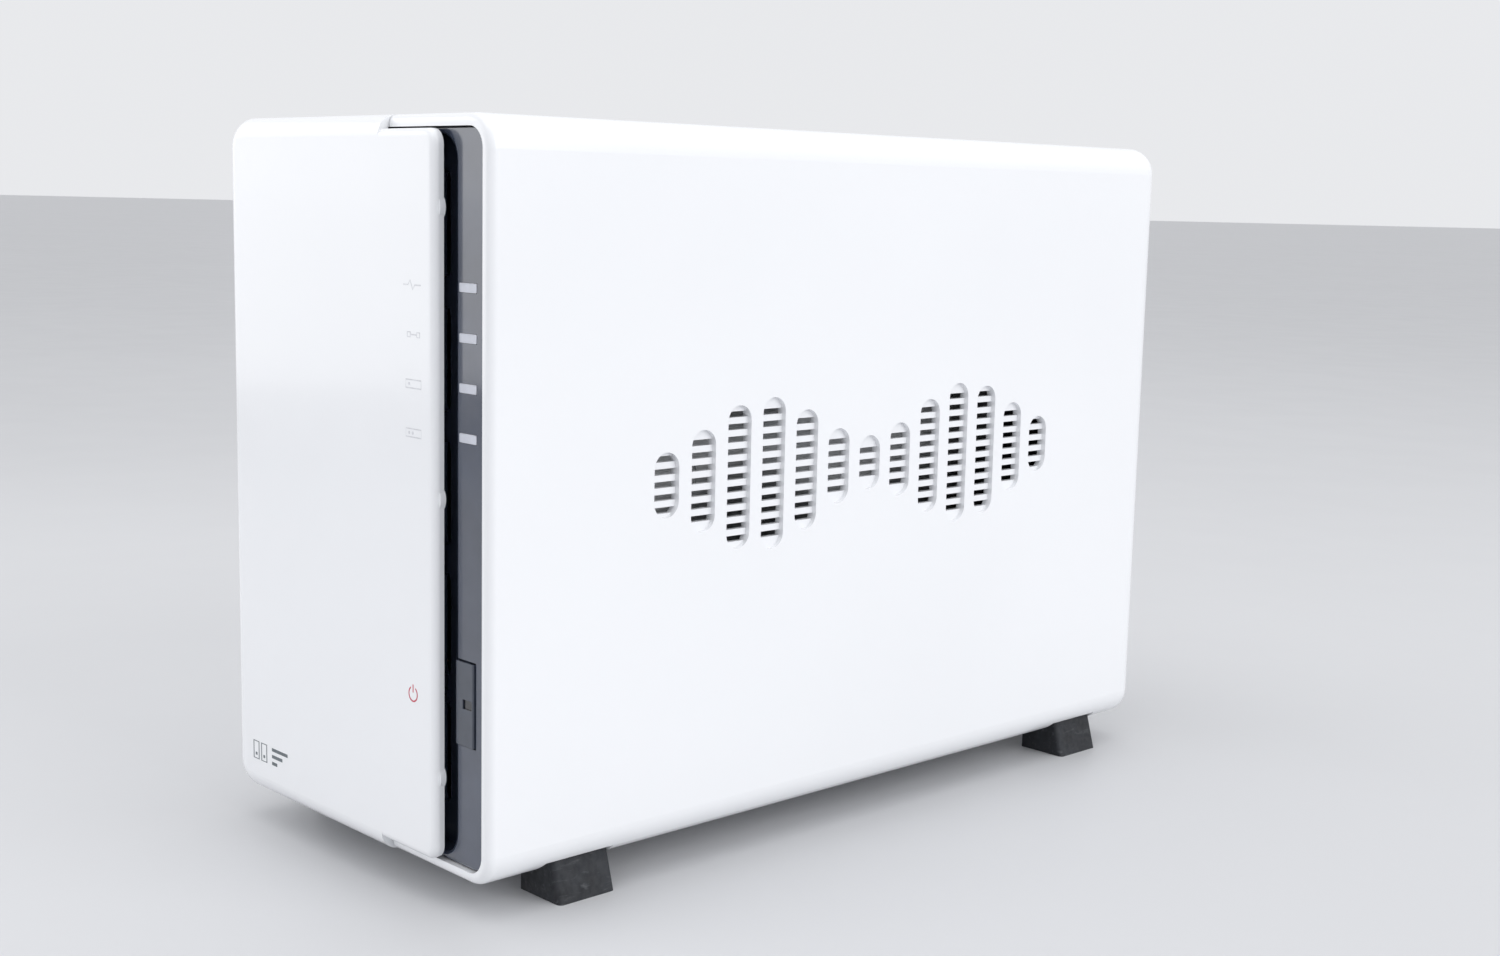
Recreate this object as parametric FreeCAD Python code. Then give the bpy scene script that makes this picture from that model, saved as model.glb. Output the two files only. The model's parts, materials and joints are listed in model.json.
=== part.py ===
"""Two-bay network attached storage: every piece as its own solid, one STEP file per node.

Millimetres. X to the right seen from the front, Y to the back, Z up.
The origin is on the standing surface, under the centre of the case.
"""

import FreeCAD, Part
import math
import os

V = FreeCAD.Vector

# ---- driving dimensions -------------------------------------------------------------
WIDTH, DEPTH, HEIGHT = 100.0, 225.5, 165.0
FOOT_HEIGHT = 7.5            # underside of the case above the standing surface
WALL = 2.6                   # moulded wall of both half shells
CORNER = 7.0                 # long edges of the case
FRONT_ROUND = 4.4            # rounding from the front panel to top, side and bottom
REAR_ROUND = 6.0
RIM_ROUND = 1.9              # outer edge of the cover's open front rim
SEAM_X = 14.3                # where base shell and cover meet, on top and underneath
SEAM_GAP = 0.3
PANEL_RIGHT = 34.4           # free edge of the front panel
PANEL_GAP = 0.4              # slit between the panel and the cover's inner face
RIM_SETBACK = 2.75           # the cover's rim behind the front panel's face
LIP = 5.0                    # width of the turned-in rear lip

X_OUT, X_IN = WIDTH / 2, WIDTH / 2 - WALL
Y_FRONT, Y_BACK = -DEPTH / 2, DEPTH / 2
Y_IN_FRONT, Y_IN_BACK = Y_FRONT + WALL, Y_BACK - WALL
Z_BOT, Z_TOP = FOOT_HEIGHT, HEIGHT
Z_IN_BOT, Z_IN_TOP = Z_BOT + WALL, Z_TOP - WALL
RIM_Y = Y_FRONT + RIM_SETBACK
CORNER_IN = CORNER - WALL
MID_Z = (Z_BOT + Z_TOP) / 2

# slide rails between the half shells: ledges on the base shell, hooks on the cover
LEDGE_REACH, LEDGE_THICK, LEDGE_GAP = 5.7, 1.7, 0.5
HOOK_X0, HOOK_X1 = 20.6, 22.2
HOOK_DROP, HOOK_FOOT, HOOK_REACH = 4.8, 1.8, 4.1
HOOK_LENGTH = 16.0
HOOK_Y = (-80.0, -24.0, 32.0, 84.0)

# side vents: a row of round-ended columns, each a shallow pocket with slots in its floor
VENT_COLUMNS, VENT_PITCH, VENT_WIDTH = 13, 10.6, 7.0
VENT_Z, VENT_LOW, VENT_HIGH = 88.0, 13.0, 35.0
VENT_POCKET = 1.2
SLOT_PITCH, SLOT_HEIGHT = 2.8, 1.35

# feet
FOOT_LENGTH = 15.2
FOOT_Y = (-83.6, 88.9)
FOOT_INNER, FOOT_TOP_X, FOOT_BASE_X = 35.6, 46.6, 49.4
FOOT_TOP = 9.6
POCKET_TOP = 9.8
PAD_TOP = 12.6

# front bezel and what sits in it
BEZEL_Y0, BEZEL_Y1 = RIM_Y + 1.2, -102.4
BEZEL_FLOOR = -104.0
STRIP_X0, STRIP_X1 = 36.6, 47.0
STRIP_THICK = 1.8
BAND = 1.2
LED_X, LED_WIDTH, LED_HEIGHT = 40.9, 6.0, 2.0
LED_Z = (130.6, 120.5, 110.4, 100.3)
LED_NAMES = ("status", "lan", "disk_1", "disk_2")
BUTTON_Z0, BUTTON_Z1, BUTTON_X1 = 36.4, 54.1, 43.4
BUTTON_PROUD = 0.5
BUTTON_GAP = 0.3
BUTTON_MID = (BUTTON_Z0 + BUTTON_Z1) / 2
FRONT_BOARD_Y = -97.6
SWITCH_DEEP = 3.0
PLUNGER_OUT = 0.9

# drives: 3.5 inch, standing on edge, connectors to the front
DRIVE_LENGTH, DRIVE_WIDTH, DRIVE_THICK = 147.0, 101.6, 26.1
DRIVE_Y, DRIVE_Z = -74.5, 50.8
DRIVE_X = (0.9, -29.2)
DRIVE_HOLE_UP, DRIVE_HOLES = 6.35, (28.5, 130.1)
DRIVE_TRAVEL = 8.0
CONNECTOR_MID = 30.1

# sheet metal
SHEET = 1.0
CAGE_WEB_X = -33.2
CAGE_X1 = 28.0
CAGE_Y = (-70.0, 70.0)
CAGE_GAP = 0.4
CAGE_Z0 = DRIVE_Z - CAGE_GAP - SHEET
CAGE_Z1 = DRIVE_Z + DRIVE_WIDTH + CAGE_GAP + SHEET
TRAY_Z = 16.0
TRAY_X0, TRAY_X1 = CAGE_WEB_X - SHEET - 0.1, 44.0
TRAY_Y = (-92.0, 100.0)
BOSS_YZ = ((-60.0, 62.0), (60.0, 62.0), (-60.0, 140.0), (60.0, 140.0))

# back plate and fan
PLATE_Y1 = Y_IN_BACK - 0.15
PLATE_Y0 = PLATE_Y1 - SHEET
FAN_SIZE, FAN_DEEP, FAN_PITCH = 92.0, 25.0, 82.5
FAN_Z = 105.0
FAN_BORE = 44.6
FAN_Y0, FAN_Y1 = PLATE_Y0 - FAN_DEEP, PLATE_Y0
HUB_R, BLADES, BLADE_TIP = 19.0, 7, 43.2
SHAFT_R, BEARING_R = 1.5, 4.0
RUNNING = 0.05

# mainboard
BOARD_Z, BOARD_THICK = 21.0, 1.6
BOARD_TOP = BOARD_Z + BOARD_THICK
BOARD_X, BOARD_Y = (-32.0, 45.0), (-90.0, 107.5)
BOARD_HOLES = ((-27.0, -70.0), (40.0, -70.0), (-27.0, 89.3), (-27.0, 10.0))
PORT_FACE = PLATE_Y1 + 0.6
USB_X = (-22.0, -3.5)
LAN_X, RESET_X, JACK_X = 14.5, 26.2, 35.0
RESET_Z, JACK_Z = 27.5, 28.6
LOCK_X, LOCK_Z = -36.0, 47.0
BACKPLANE_Y = -84.6

# cover screws, in ears of the rear lip
EAR_X, EAR_HALF, EAR_THICK = 30.0, 6.0, 1.2
EAR_Z = (15.6, 157.0)


# ---- small helpers ------------------------------------------------------------------
def box(x0, x1, y0, y1, z0, z1):
    return Part.makeBox(x1 - x0, y1 - y0, z1 - z0, V(x0, y0, z0))


def rod(x, y, z, r, length, axis):
    """A cylinder from (x, y, z) along axis, a vector."""
    return Part.makeCylinder(r, length, V(x, y, z), axis)


def rod_y(x, z, r, y0, y1):
    return rod(x, y0, z, r, y1 - y0, V(0, 1, 0))


def rod_z(x, y, r, z0, z1):
    return rod(x, y, z0, r, z1 - z0, V(0, 0, 1))


def rod_x(y, z, r, x0, x1):
    return rod(x0, y, z, r, x1 - x0, V(1, 0, 0))


def union(shapes):
    shapes = list(shapes)
    return shapes[0].fuse(shapes[1:]).removeSplitter() if len(shapes) > 1 else shapes[0]


def edges_along(shape, axis):
    """Straight edges parallel to a unit axis."""
    found = []
    for e in shape.Edges:
        if e.Curve.TypeId == "Part::GeomLine":
            d = (e.Vertexes[-1].Point - e.Vertexes[0].Point).normalize()
            if abs(abs(d.dot(axis)) - 1) < 1e-6:
                found.append(e)
    return found


def edges_at_y(shape, y):
    return [e for e in shape.Edges if abs(e.BoundBox.YMin - y) < 1e-6 and abs(e.BoundBox.YMax - y) < 1e-6]


def block_y(x0, x1, y0, y1, z0, z1, r):
    """A block whose four edges along Y are rounded."""
    shape = box(x0, x1, y0, y1, z0, z1)
    return shape.makeFillet(r, edges_along(shape, V(0, 1, 0)))


def block_x(x0, x1, y0, y1, z0, z1, r):
    shape = box(x0, x1, y0, y1, z0, z1)
    return shape.makeFillet(r, edges_along(shape, V(1, 0, 0)))


def block_z(x0, x1, y0, y1, z0, z1, r):
    shape = box(x0, x1, y0, y1, z0, z1)
    return shape.makeFillet(r, edges_along(shape, V(0, 0, 1)))


def prism(points, direction):
    """A closed outline of corner points, pushed along a vector."""
    wire = Part.makePolygon([V(*p) for p in points] + [V(*points[0])])
    return Part.Face(wire).extrude(V(*direction))


def mirror_x(shape):
    return shape.mirror(V(0, 0, 0), V(1, 0, 0))


def mirror_z(shape):
    """Mirrored top to bottom about the middle of the case."""
    return shape.mirror(V(0, 0, MID_Z), V(0, 0, 1))


def screw(head_r, head_h, shank_r, shank_l, at, axis):
    """Pan head screw with a cross recess. at is the seat of the head, axis points out of the head."""
    ax = V(*axis)
    at = V(*at)
    head = Part.makeCylinder(head_r, head_h, at, ax)
    head = head.makeFillet(min(head_h * 0.6, 0.9), [e for e in head.Edges if e.Curve.TypeId == "Part::GeomCircle"
                           and (e.CenterOfMass - at).dot(ax) > head_h * 0.5])
    shank = Part.makeCylinder(shank_r, shank_l, at - ax * shank_l, ax)
    across = V(0, 0, 1) if abs(ax.z) < 0.5 else V(1, 0, 0)
    other = ax.cross(across)
    body = head.fuse(shank)
    for d, n in ((across, other), (other, across)):
        slot = Part.makePolygon([at + ax * (head_h * 0.45) + d * s * head_r * 0.62 + n * t * head_r * 0.11
                                 for s, t in ((-1, -1), (1, -1), (1, 1), (-1, 1), (-1, -1))])
        body = body.cut(Part.Face(slot).extrude(ax * head_h))
    return body.removeSplitter()


def cable(points, r):
    """A round cable along straight runs joined by tangent arcs as large as the runs allow."""
    pts = [V(*p) for p in points]
    edges, start, radii = [], pts[0], []
    for a, b, c in zip(pts, pts[1:], pts[2:]):
        u, w = (b - a).normalize(), (c - b).normalize()
        half = math.acos(max(-1.0, min(1.0, u.dot(w)))) / 2
        setback = 0.45 * min((b - a).Length, (c - b).Length)
        radius = setback / math.tan(half)
        radii.append(radius)
        p, q = b - u * setback, b + w * setback
        mid = b + (w - u).normalize() * (radius / math.cos(half) - radius)
        edges += [Part.LineSegment(start, p).toShape(), Part.Arc(p, mid, q).toShape()]
        start = q
    edges.append(Part.LineSegment(start, pts[-1]).toShape())
    path = Part.Wire(edges)
    section = Part.Wire(Part.makeCircle(r, pts[0], (pts[1] - pts[0]).normalize()))
    tube = path.makePipeShell([section], True, False)
    print("cable radii", [round(x, 1) for x in radii], "volume ratio",
          round(tube.Volume / (math.pi * r * r * path.Length), 4))
    return tube


# ---- case ---------------------------------------------------------------------------
def case_block(y0, front_round):
    shape = block_y(-X_OUT, X_OUT, y0, Y_BACK, Z_BOT, Z_TOP, CORNER)
    shape = shape.makeFillet(front_round, edges_at_y(shape, y0))
    return shape.makeFillet(REAR_ROUND, edges_at_y(shape, Y_BACK))


def rear_opening():
    return block_y(-X_OUT + LIP, X_OUT - LIP, Y_IN_BACK - 1, Y_BACK + 1, Z_BOT + LIP, Z_TOP - LIP, 3.0)


def vent_height(i):
    """Column heights swell and fall twice along the row."""
    swell = 0.5 - 0.5 * math.cos(4 * math.pi * (i + 0.5) / VENT_COLUMNS)
    return VENT_LOW + (VENT_HIGH - VENT_LOW) * swell


def vent_tools():
    """What is cut from the right wall: pockets, and slots through their floors."""
    tools = []
    floor = X_OUT - VENT_POCKET
    for i in range(VENT_COLUMNS):
        y = (i - (VENT_COLUMNS - 1) / 2) * VENT_PITCH
        half = vent_height(i) / 2
        r = VENT_WIDTH / 2
        column = block_x(X_IN - 1, X_OUT + 1, y - r, y + r, VENT_Z - half, VENT_Z + half, r - 0.01)
        slots = []
        for k in range(-8, 9):
            z = VENT_Z + k * SLOT_PITCH
            if abs(z - VENT_Z) + SLOT_HEIGHT / 2 < half - 0.5:
                slots.append(box(X_IN - 1, floor + 0.1, y - r - 1, y + r + 1, z - SLOT_HEIGHT / 2, z + SLOT_HEIGHT / 2))
        tools.append(column.common(box(floor, X_OUT + 1, y - r - 1, y + r + 1, 0, HEIGHT)))
        tools += [column.common(s) for s in slots]
    return tools


def foot_pads():
    """Thicker floor over the right-hand feet, and the pockets and peg holes cut into it."""
    pads, cuts = [], []
    for y in FOOT_Y:
        y0, y1 = y - FOOT_LENGTH / 2 - 0.15, y + FOOT_LENGTH / 2 + 0.15
        pads.append(block_z(FOOT_INNER - 3, X_OUT - 1.2, y0 - 5, y1 + 3, Z_IN_BOT - 0.4, PAD_TOP, 2.0))
        ramp = [(FOOT_INNER - 0.2, y0 - 5.2, Z_BOT - 1), (FOOT_INNER - 0.2, y0 - 2.6, POCKET_TOP),
                (FOOT_INNER - 0.2, y1, POCKET_TOP), (FOOT_INNER - 0.2, y1, Z_BOT - 1)]
        cuts.append(prism(ramp, (X_OUT, 0, 0)))
        cuts.append(rod_z(FOOT_INNER + 5, y, 2.05, POCKET_TOP - 0.1, PAD_TOP + 1))
    corner = case_block(Y_FRONT, FRONT_ROUND)
    return [p.common(corner) for p in pads], cuts


def hook():
    """One top hook of the cover; it reaches under the base shell's ledge."""
    z = Z_IN_TOP - HOOK_DROP
    stem = box(HOOK_X0, HOOK_X1, 0, HOOK_LENGTH, z, Z_IN_TOP + 0.5)
    foot = box(HOOK_X0 - HOOK_REACH, HOOK_X1, 0, HOOK_LENGTH, z, z + HOOK_FOOT)
    return stem.fuse(foot)


def ledge():
    """Top ledge of the base shell."""
    z1 = Z_IN_TOP - LEDGE_GAP
    root = box(SEAM_X - 8, SEAM_X, -96, 104, z1 - LEDGE_THICK, Z_IN_TOP + 0.5)
    tongue = box(SEAM_X - 1, SEAM_X + LEDGE_REACH, -96, 104, z1 - LEDGE_THICK, z1)
    return root.fuse(tongue)


def front_panel():
    """The part of the front panel that stands free in front of the bezel, with its three clips."""
    z0, z1 = Z_IN_BOT + PANEL_GAP, Z_IN_TOP - PANEL_GAP
    shape = block_y(-20, PANEL_RIGHT, Y_FRONT, Y_IN_FRONT, z0, z1, 3.2)
    shape = shape.makeFillet(1.6, edges_at_y(shape, Y_FRONT))
    clips = [rod(PANEL_RIGHT - 3.0, Y_IN_FRONT - 1.1, z, 3.4, 1.3, V(0, 1, 0)) for z in (28.4, 87.2, 146.4)]
    return shape.fuse(clips)


def base_shell():
    shell = case_block(Y_FRONT, FRONT_ROUND)
    shell = shell.cut(block_y(-X_IN, X_IN, Y_IN_FRONT, Y_IN_BACK, Z_IN_BOT, Z_IN_TOP, CORNER_IN))
    shell = shell.cut(rear_opening())
    shell = shell.common(box(-X_OUT - 1, SEAM_X, Y_FRONT - 1, Y_BACK + 1, 0, HEIGHT + 1))
    bosses = []
    holes = []
    for y, z in BOSS_YZ:
        end = TRAY_X0 - 0.1 if z < 100 else CAGE_WEB_X - 0.1
        bosses.append(rod_x(y, z, 4.0, -X_IN - 0.5, end))
        holes.append(rod_x(y, z, 1.35, end - 10, end + 1))
    ribs = [box(-X_IN - 0.5, -X_IN + 2.0, y - 0.7, y + 0.7, 20, 150) for y in (-84, -36, 36, 80)]
    pads, cuts = foot_pads()
    shell = shell.fuse([front_panel(), ledge(), mirror_z(ledge())] + bosses + ribs + [mirror_x(p) for p in pads])
    return shell.cut(holes + [mirror_x(t) for t in cuts + vent_tools()]).removeSplitter()


def side_cover():
    shell = case_block(RIM_Y, RIM_ROUND)
    shell = shell.cut(block_y(-X_IN, X_IN, RIM_Y - 1, Y_IN_BACK, Z_IN_BOT, Z_IN_TOP, CORNER_IN))
    shell = shell.cut(rear_opening())
    shell = shell.common(box(SEAM_X + SEAM_GAP, X_OUT + 1, RIM_Y - 1, Y_BACK + 1, 0, HEIGHT + 1))
    hooks = []
    for y in HOOK_Y:
        one = hook().translate(V(0, y, 0))
        hooks += [one, mirror_z(one)]
    ears, holes = [], []
    for z, z0, z1 in ((EAR_Z[0], Z_BOT + LIP - 1.5, EAR_Z[0] + 4.2), (EAR_Z[1], EAR_Z[1] - 4.2, Z_TOP - LIP + 1.5)):
        ears.append(block_y(EAR_X - EAR_HALF, EAR_X + EAR_HALF, Y_IN_BACK, Y_IN_BACK + EAR_THICK, z0, z1, 1.4))
        holes.append(rod_y(EAR_X, z, 1.7, Y_IN_BACK - 1, Y_BACK + 1))
        holes.append(rod_y(EAR_X, z, 3.3, Y_IN_BACK + EAR_THICK, Y_BACK + 1))
    pads, cuts = foot_pads()
    return shell.fuse(hooks + ears + pads).cut(holes + cuts + vent_tools()).removeSplitter()


def foot(y):
    """Right-hand foot: a wedge that leans outwards, with a peg into the shell."""
    y0 = y - FOOT_LENGTH / 2
    side = [(FOOT_INNER, y0, 0), (FOOT_BASE_X, y0, 0), (FOOT_TOP_X, y0, FOOT_TOP), (FOOT_INNER, y0, FOOT_TOP)]
    block = prism(side, (0, FOOT_LENGTH, 0))
    outer = [e for e in block.Edges if e.BoundBox.XMin > FOOT_INNER + 1 and e.BoundBox.YLength < 1e-6
             and e.BoundBox.ZLength > 1]
    block = block.makeFillet(1.2, outer)
    return block.fuse(rod_z(FOOT_INNER + 5, y, 2.0, FOOT_TOP - 0.1, PAD_TOP - 0.2)).removeSplitter()


# ---- front --------------------------------------------------------------------------
def front_bezel():
    body = block_y(-46.9, STRIP_X1, BEZEL_Y0, BEZEL_Y1, Z_IN_BOT + 0.4, Z_IN_TOP - 0.4, 4.2)
    pocket = block_y(-46.9 + BAND, STRIP_X0, BEZEL_Y0 - 1, BEZEL_FLOOR, Z_IN_BOT + 0.4 + BAND,
                     Z_IN_TOP - 0.4 - BAND, 5.2)
    body = body.cut(pocket)
    nose = [e for e in edges_at_y(body, BEZEL_Y0) if e.BoundBox.XMin > STRIP_X0 - 6 and e.BoundBox.XMax < STRIP_X0 + 0.1]
    body = body.makeFillet(0.9, nose)
    hollow = box(STRIP_X0 + 1.6, STRIP_X1 - 1.4, BEZEL_Y0 + STRIP_THICK, BEZEL_Y1 + 1, 15, 157.5)
    tools = [hollow]
    tools += [box(LED_X - LED_WIDTH / 2, LED_X + LED_WIDTH / 2, BEZEL_Y0 - 1, BEZEL_Y0 + 3,
                  z - LED_HEIGHT / 2, z + LED_HEIGHT / 2) for z in LED_Z]
    tools.append(box(STRIP_X0 - 1, BUTTON_X1 + BUTTON_GAP, BEZEL_Y0 - 1, BEZEL_Y1 + 1,
                     BUTTON_Z0 - BUTTON_GAP, BUTTON_Z1 + BUTTON_GAP))
    for i in range(9):
        for j in range(5):
            x, z = -38 + 8 * i, 20 + 28 * j
            tools.append(block_y(x - 1.8, x + 1.8, BEZEL_FLOOR - 1, BEZEL_Y1 + 1, z, z + 22, 1.7))
    posts = [rod_y(STRIP_X1 - 0.9, z, 0.9, BEZEL_Y1 - 0.5, FRONT_BOARD_Y) for z in (66, 92)]
    body = body.cut(tools).fuse(posts)
    return body.removeSplitter()


def light_pipe(z):
    w, h = LED_WIDTH / 2 - 0.06, LED_HEIGHT / 2 - 0.06
    head = block_y(LED_X - w, LED_X + w, BEZEL_Y0 - 0.1, BEZEL_Y0 + 2.9, z - h, z + h, 0.3)
    return head.fuse(box(LED_X - 1.5, LED_X + 1.5, BEZEL_Y0 + 2.5, FRONT_BOARD_Y - 1.1, z - h, z + h)).removeSplitter()


def power_button():
    y0 = BEZEL_Y0 - BUTTON_PROUD
    cap = box(STRIP_X0 + 0.1, BUTTON_X1, y0, BEZEL_Y0 + 1.6, BUTTON_Z0, BUTTON_Z1)
    cap = cap.makeFillet(0.9, [e for e in edges_at_y(cap, y0) if e.BoundBox.XMax < STRIP_X0 + 0.2])
    cap = cap.makeFillet(0.35, [e for e in edges_at_y(cap, y0) if e.BoundBox.XMin > BUTTON_X1 - 0.1])
    flange_y = BEZEL_Y0 + STRIP_THICK + 0.1
    flange = box(STRIP_X0 + 1.9, BUTTON_X1 + 1.5, flange_y, flange_y + 1.0, BUTTON_Z0 - 1.4, BUTTON_Z1 + 1.4)
    neck = box(STRIP_X0 + 1.9, BUTTON_X1 - 0.4, BEZEL_Y0 + 1.0, flange_y + 0.5, BUTTON_Z0 + 0.5, BUTTON_Z1 - 0.5)
    stem_end = FRONT_BOARD_Y - SWITCH_DEEP - PLUNGER_OUT
    stem = rod_y(LED_X + 0.6, BUTTON_MID, 1.6, flange_y + 0.5, stem_end)
    lens = box(39.7, 42.9, y0 - 1, BEZEL_Y0 + 0.6, BUTTON_MID - 1.0, BUTTON_MID + 1.0)
    return cap.fuse([neck, flange, stem]).cut(lens).removeSplitter()


def power_lens():
    """Window of the power light, sunk into the button."""
    return box(39.75, 42.85, BEZEL_Y0 - 0.15, BEZEL_Y0 + 0.6, BUTTON_MID - 0.95, BUTTON_MID + 0.95)


def front_board():
    board = box(STRIP_X0 + 1.2, STRIP_X1 - 0.0, FRONT_BOARD_Y, FRONT_BOARD_Y + 1.6, 28, 138)
    return board


def power_switch():
    y1 = FRONT_BOARD_Y
    body = box(LED_X - 2.4, LED_X + 3.6, y1 - SWITCH_DEEP, y1, BUTTON_MID - 3, BUTTON_MID + 3)
    return body.cut(rod_y(LED_X + 0.6, BUTTON_MID, 1.75, y1 - SWITCH_DEEP - 1, y1 - 1))


def power_plunger():
    y0 = FRONT_BOARD_Y - SWITCH_DEEP - PLUNGER_OUT
    return rod_y(LED_X + 0.6, BUTTON_MID, 1.65, y0, y0 + PLUNGER_OUT + 1.2)


def indicator_leds():
    y1 = FRONT_BOARD_Y
    return [box(LED_X - 1.6, LED_X + 1.6, y1 - 1.0, y1, z - 0.8, z + 0.8) for z in LED_Z]


def front_socket():
    """Cable socket on the back of the front board."""
    y0 = FRONT_BOARD_Y + 1.6
    body = box(LED_X - 4, LED_X + 4, y0, y0 + 5, 30.5, 36.5)
    return body.cut(box(LED_X - 3.2, LED_X + 3.2, y0 + 1, y0 + 6, 31.3, 35.7))


# ---- sheet metal --------------------------------------------------------------------
def screw_slot(x, y, z0, z1):
    """Slot along Y that lets a drive screw travel with its drive."""
    return block_z(x - 2.0, x + 2.0, y - 2.0, y + DRIVE_TRAVEL + 2.4, z0 - 1, z1 + 1, 1.95)


def drive_cage():
    web = box(CAGE_WEB_X, CAGE_WEB_X + SHEET, *CAGE_Y, CAGE_Z0, CAGE_Z1)
    top = box(CAGE_WEB_X, CAGE_X1, *CAGE_Y, CAGE_Z1 - SHEET, CAGE_Z1)
    low = box(CAGE_WEB_X, CAGE_X1, *CAGE_Y, CAGE_Z0, CAGE_Z0 + SHEET)
    cage = web.fuse([top, low]).removeSplitter()
    bends = [e for e in edges_along(cage, V(0, 1, 0)) if abs(e.BoundBox.XMin - CAGE_WEB_X) < 0.01]
    cage = cage.makeFillet(0.9, bends)
    tools = []
    for x0 in DRIVE_X:
        for b in DRIVE_HOLES:
            for z in (CAGE_Z0, CAGE_Z1 - SHEET):
                tools.append(screw_slot(x0 + DRIVE_HOLE_UP, DRIVE_Y + b, z, z + SHEET))
    for y in (-48, -16, 16, 48):
        for z in (76, 100, 124):
            tools.append(block_x(CAGE_WEB_X - 1, CAGE_WEB_X + 2, y - 11, y + 11, z - 7, z + 7, 3.0))
    tools += [rod_x(y, z, 1.8, CAGE_WEB_X - 1, CAGE_WEB_X + 2) for y, z in BOSS_YZ]
    return cage.cut(tools)


def chassis_frame():
    web = box(TRAY_X0, TRAY_X0 + SHEET, *CAGE_Y, TRAY_Z, 70)
    tray = box(TRAY_X0, TRAY_X1, *TRAY_Y, TRAY_Z, TRAY_Z + SHEET)
    frame = web.fuse(tray).removeSplitter()
    tools = [rod_x(y, z, 1.8, TRAY_X0 - 1, TRAY_X0 + 2) for y, z in BOSS_YZ if z < 100]
    tools += [block_z(x, x + 21, y, y + 21, TRAY_Z - 1, TRAY_Z + 2, 4) for x in (-20, 10) for y in (-52, -12, 28)]
    tools += [rod_z(x, y, 1.6, TRAY_Z - 1, TRAY_Z + 2) for x, y in BOARD_HOLES]
    posts = [rod_z(x, y, 2.6, TRAY_Z + SHEET - 0.2, BOARD_Z).cut(rod_z(x, y, 1.35, TRAY_Z - 1, BOARD_Z + 1))
             for x, y in BOARD_HOLES]
    return frame.cut(tools).fuse(posts).removeSplitter()


def frame_screws():
    found = []
    for y, z in BOSS_YZ:
        found.append(screw(3.0, 1.7, 1.3, 11.0, (CAGE_WEB_X + SHEET, y, z), (1, 0, 0)))
    return found


def back_plate():
    half = X_IN - 0.6
    plate = block_y(-half, half, PLATE_Y0, PLATE_Y1, Z_IN_BOT + 0.5, Z_IN_TOP - 0.5, 3.8)
    flange = box(-20, 20, 90, PLATE_Y1, TRAY_Z + SHEET + 0.05, TRAY_Z + 2 * SHEET + 0.05)
    tools = []
    for z0, z1 in ((Z_IN_TOP - HOOK_DROP - 0.6, Z_TOP), (0, Z_IN_BOT + HOOK_DROP + 0.6)):
        tools.append(box(HOOK_X0 - HOOK_REACH - 0.8, HOOK_X1 + 0.8, PLATE_Y0 - 1, PLATE_Y1 + 1, z0, z1))
    tools.append(box(FOOT_INNER - 3.8, X_OUT, PLATE_Y0 - 1, PLATE_Y1 + 1, 0, PAD_TOP + 0.4))
    through = (PLATE_Y0 - 1, PLATE_Y1 + 1)
    grille = []
    for r0 in (10.5, 18.0, 25.5, 33.0):
        ring = rod_y(0, FAN_Z, r0 + 5.0, *through).cut(rod_y(0, FAN_Z, r0, *through))
        grille.append(ring)
    spokes = []
    for k in range(3):
        bar = box(-45, 45, PLATE_Y0 - 2, PLATE_Y1 + 2, FAN_Z - 1.6, FAN_Z + 1.6)
        spokes.append(bar.rotate(V(0, 0, FAN_Z), V(0, 1, 0), 30 + 60 * k))
    tools += [g.cut(spokes) for g in grille]
    tools.append(rod_y(0, FAN_Z, 6.0, *through))
    for sx in (-1, 1):
        for sz in (-1, 1):
            tools.append(rod_y(sx * FAN_PITCH / 2, FAN_Z + sz * FAN_PITCH / 2, 2.3, *through))
    for x in USB_X:
        tools.append(box(x - 7.5, x + 7.5, *through, BOARD_TOP - 0.4, BOARD_TOP + 7.6))
    tools.append(box(LAN_X - 8.3, LAN_X + 8.3, *through, BOARD_TOP - 0.4, BOARD_TOP + 13.9))
    tools.append(rod_y(RESET_X, RESET_Z, 1.1, *through))
    tools.append(rod_y(JACK_X, JACK_Z, 4.4, *through))
    tools.append(block_y(LOCK_X - 1.5, LOCK_X + 1.5, *through, LOCK_Z - 3.5, LOCK_Z + 3.5, 1.0))
    tools += [rod_y(EAR_X, z, 1.45, *through) for z in EAR_Z]
    return plate.fuse(flange).cut(tools).removeSplitter()


def cover_screws():
    seat = Y_IN_BACK + EAR_THICK
    return [screw(2.7, Y_BACK - seat, 1.4, 7.0, (EAR_X, seat, z), (0, 1, 0)) for z in EAR_Z]


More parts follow.
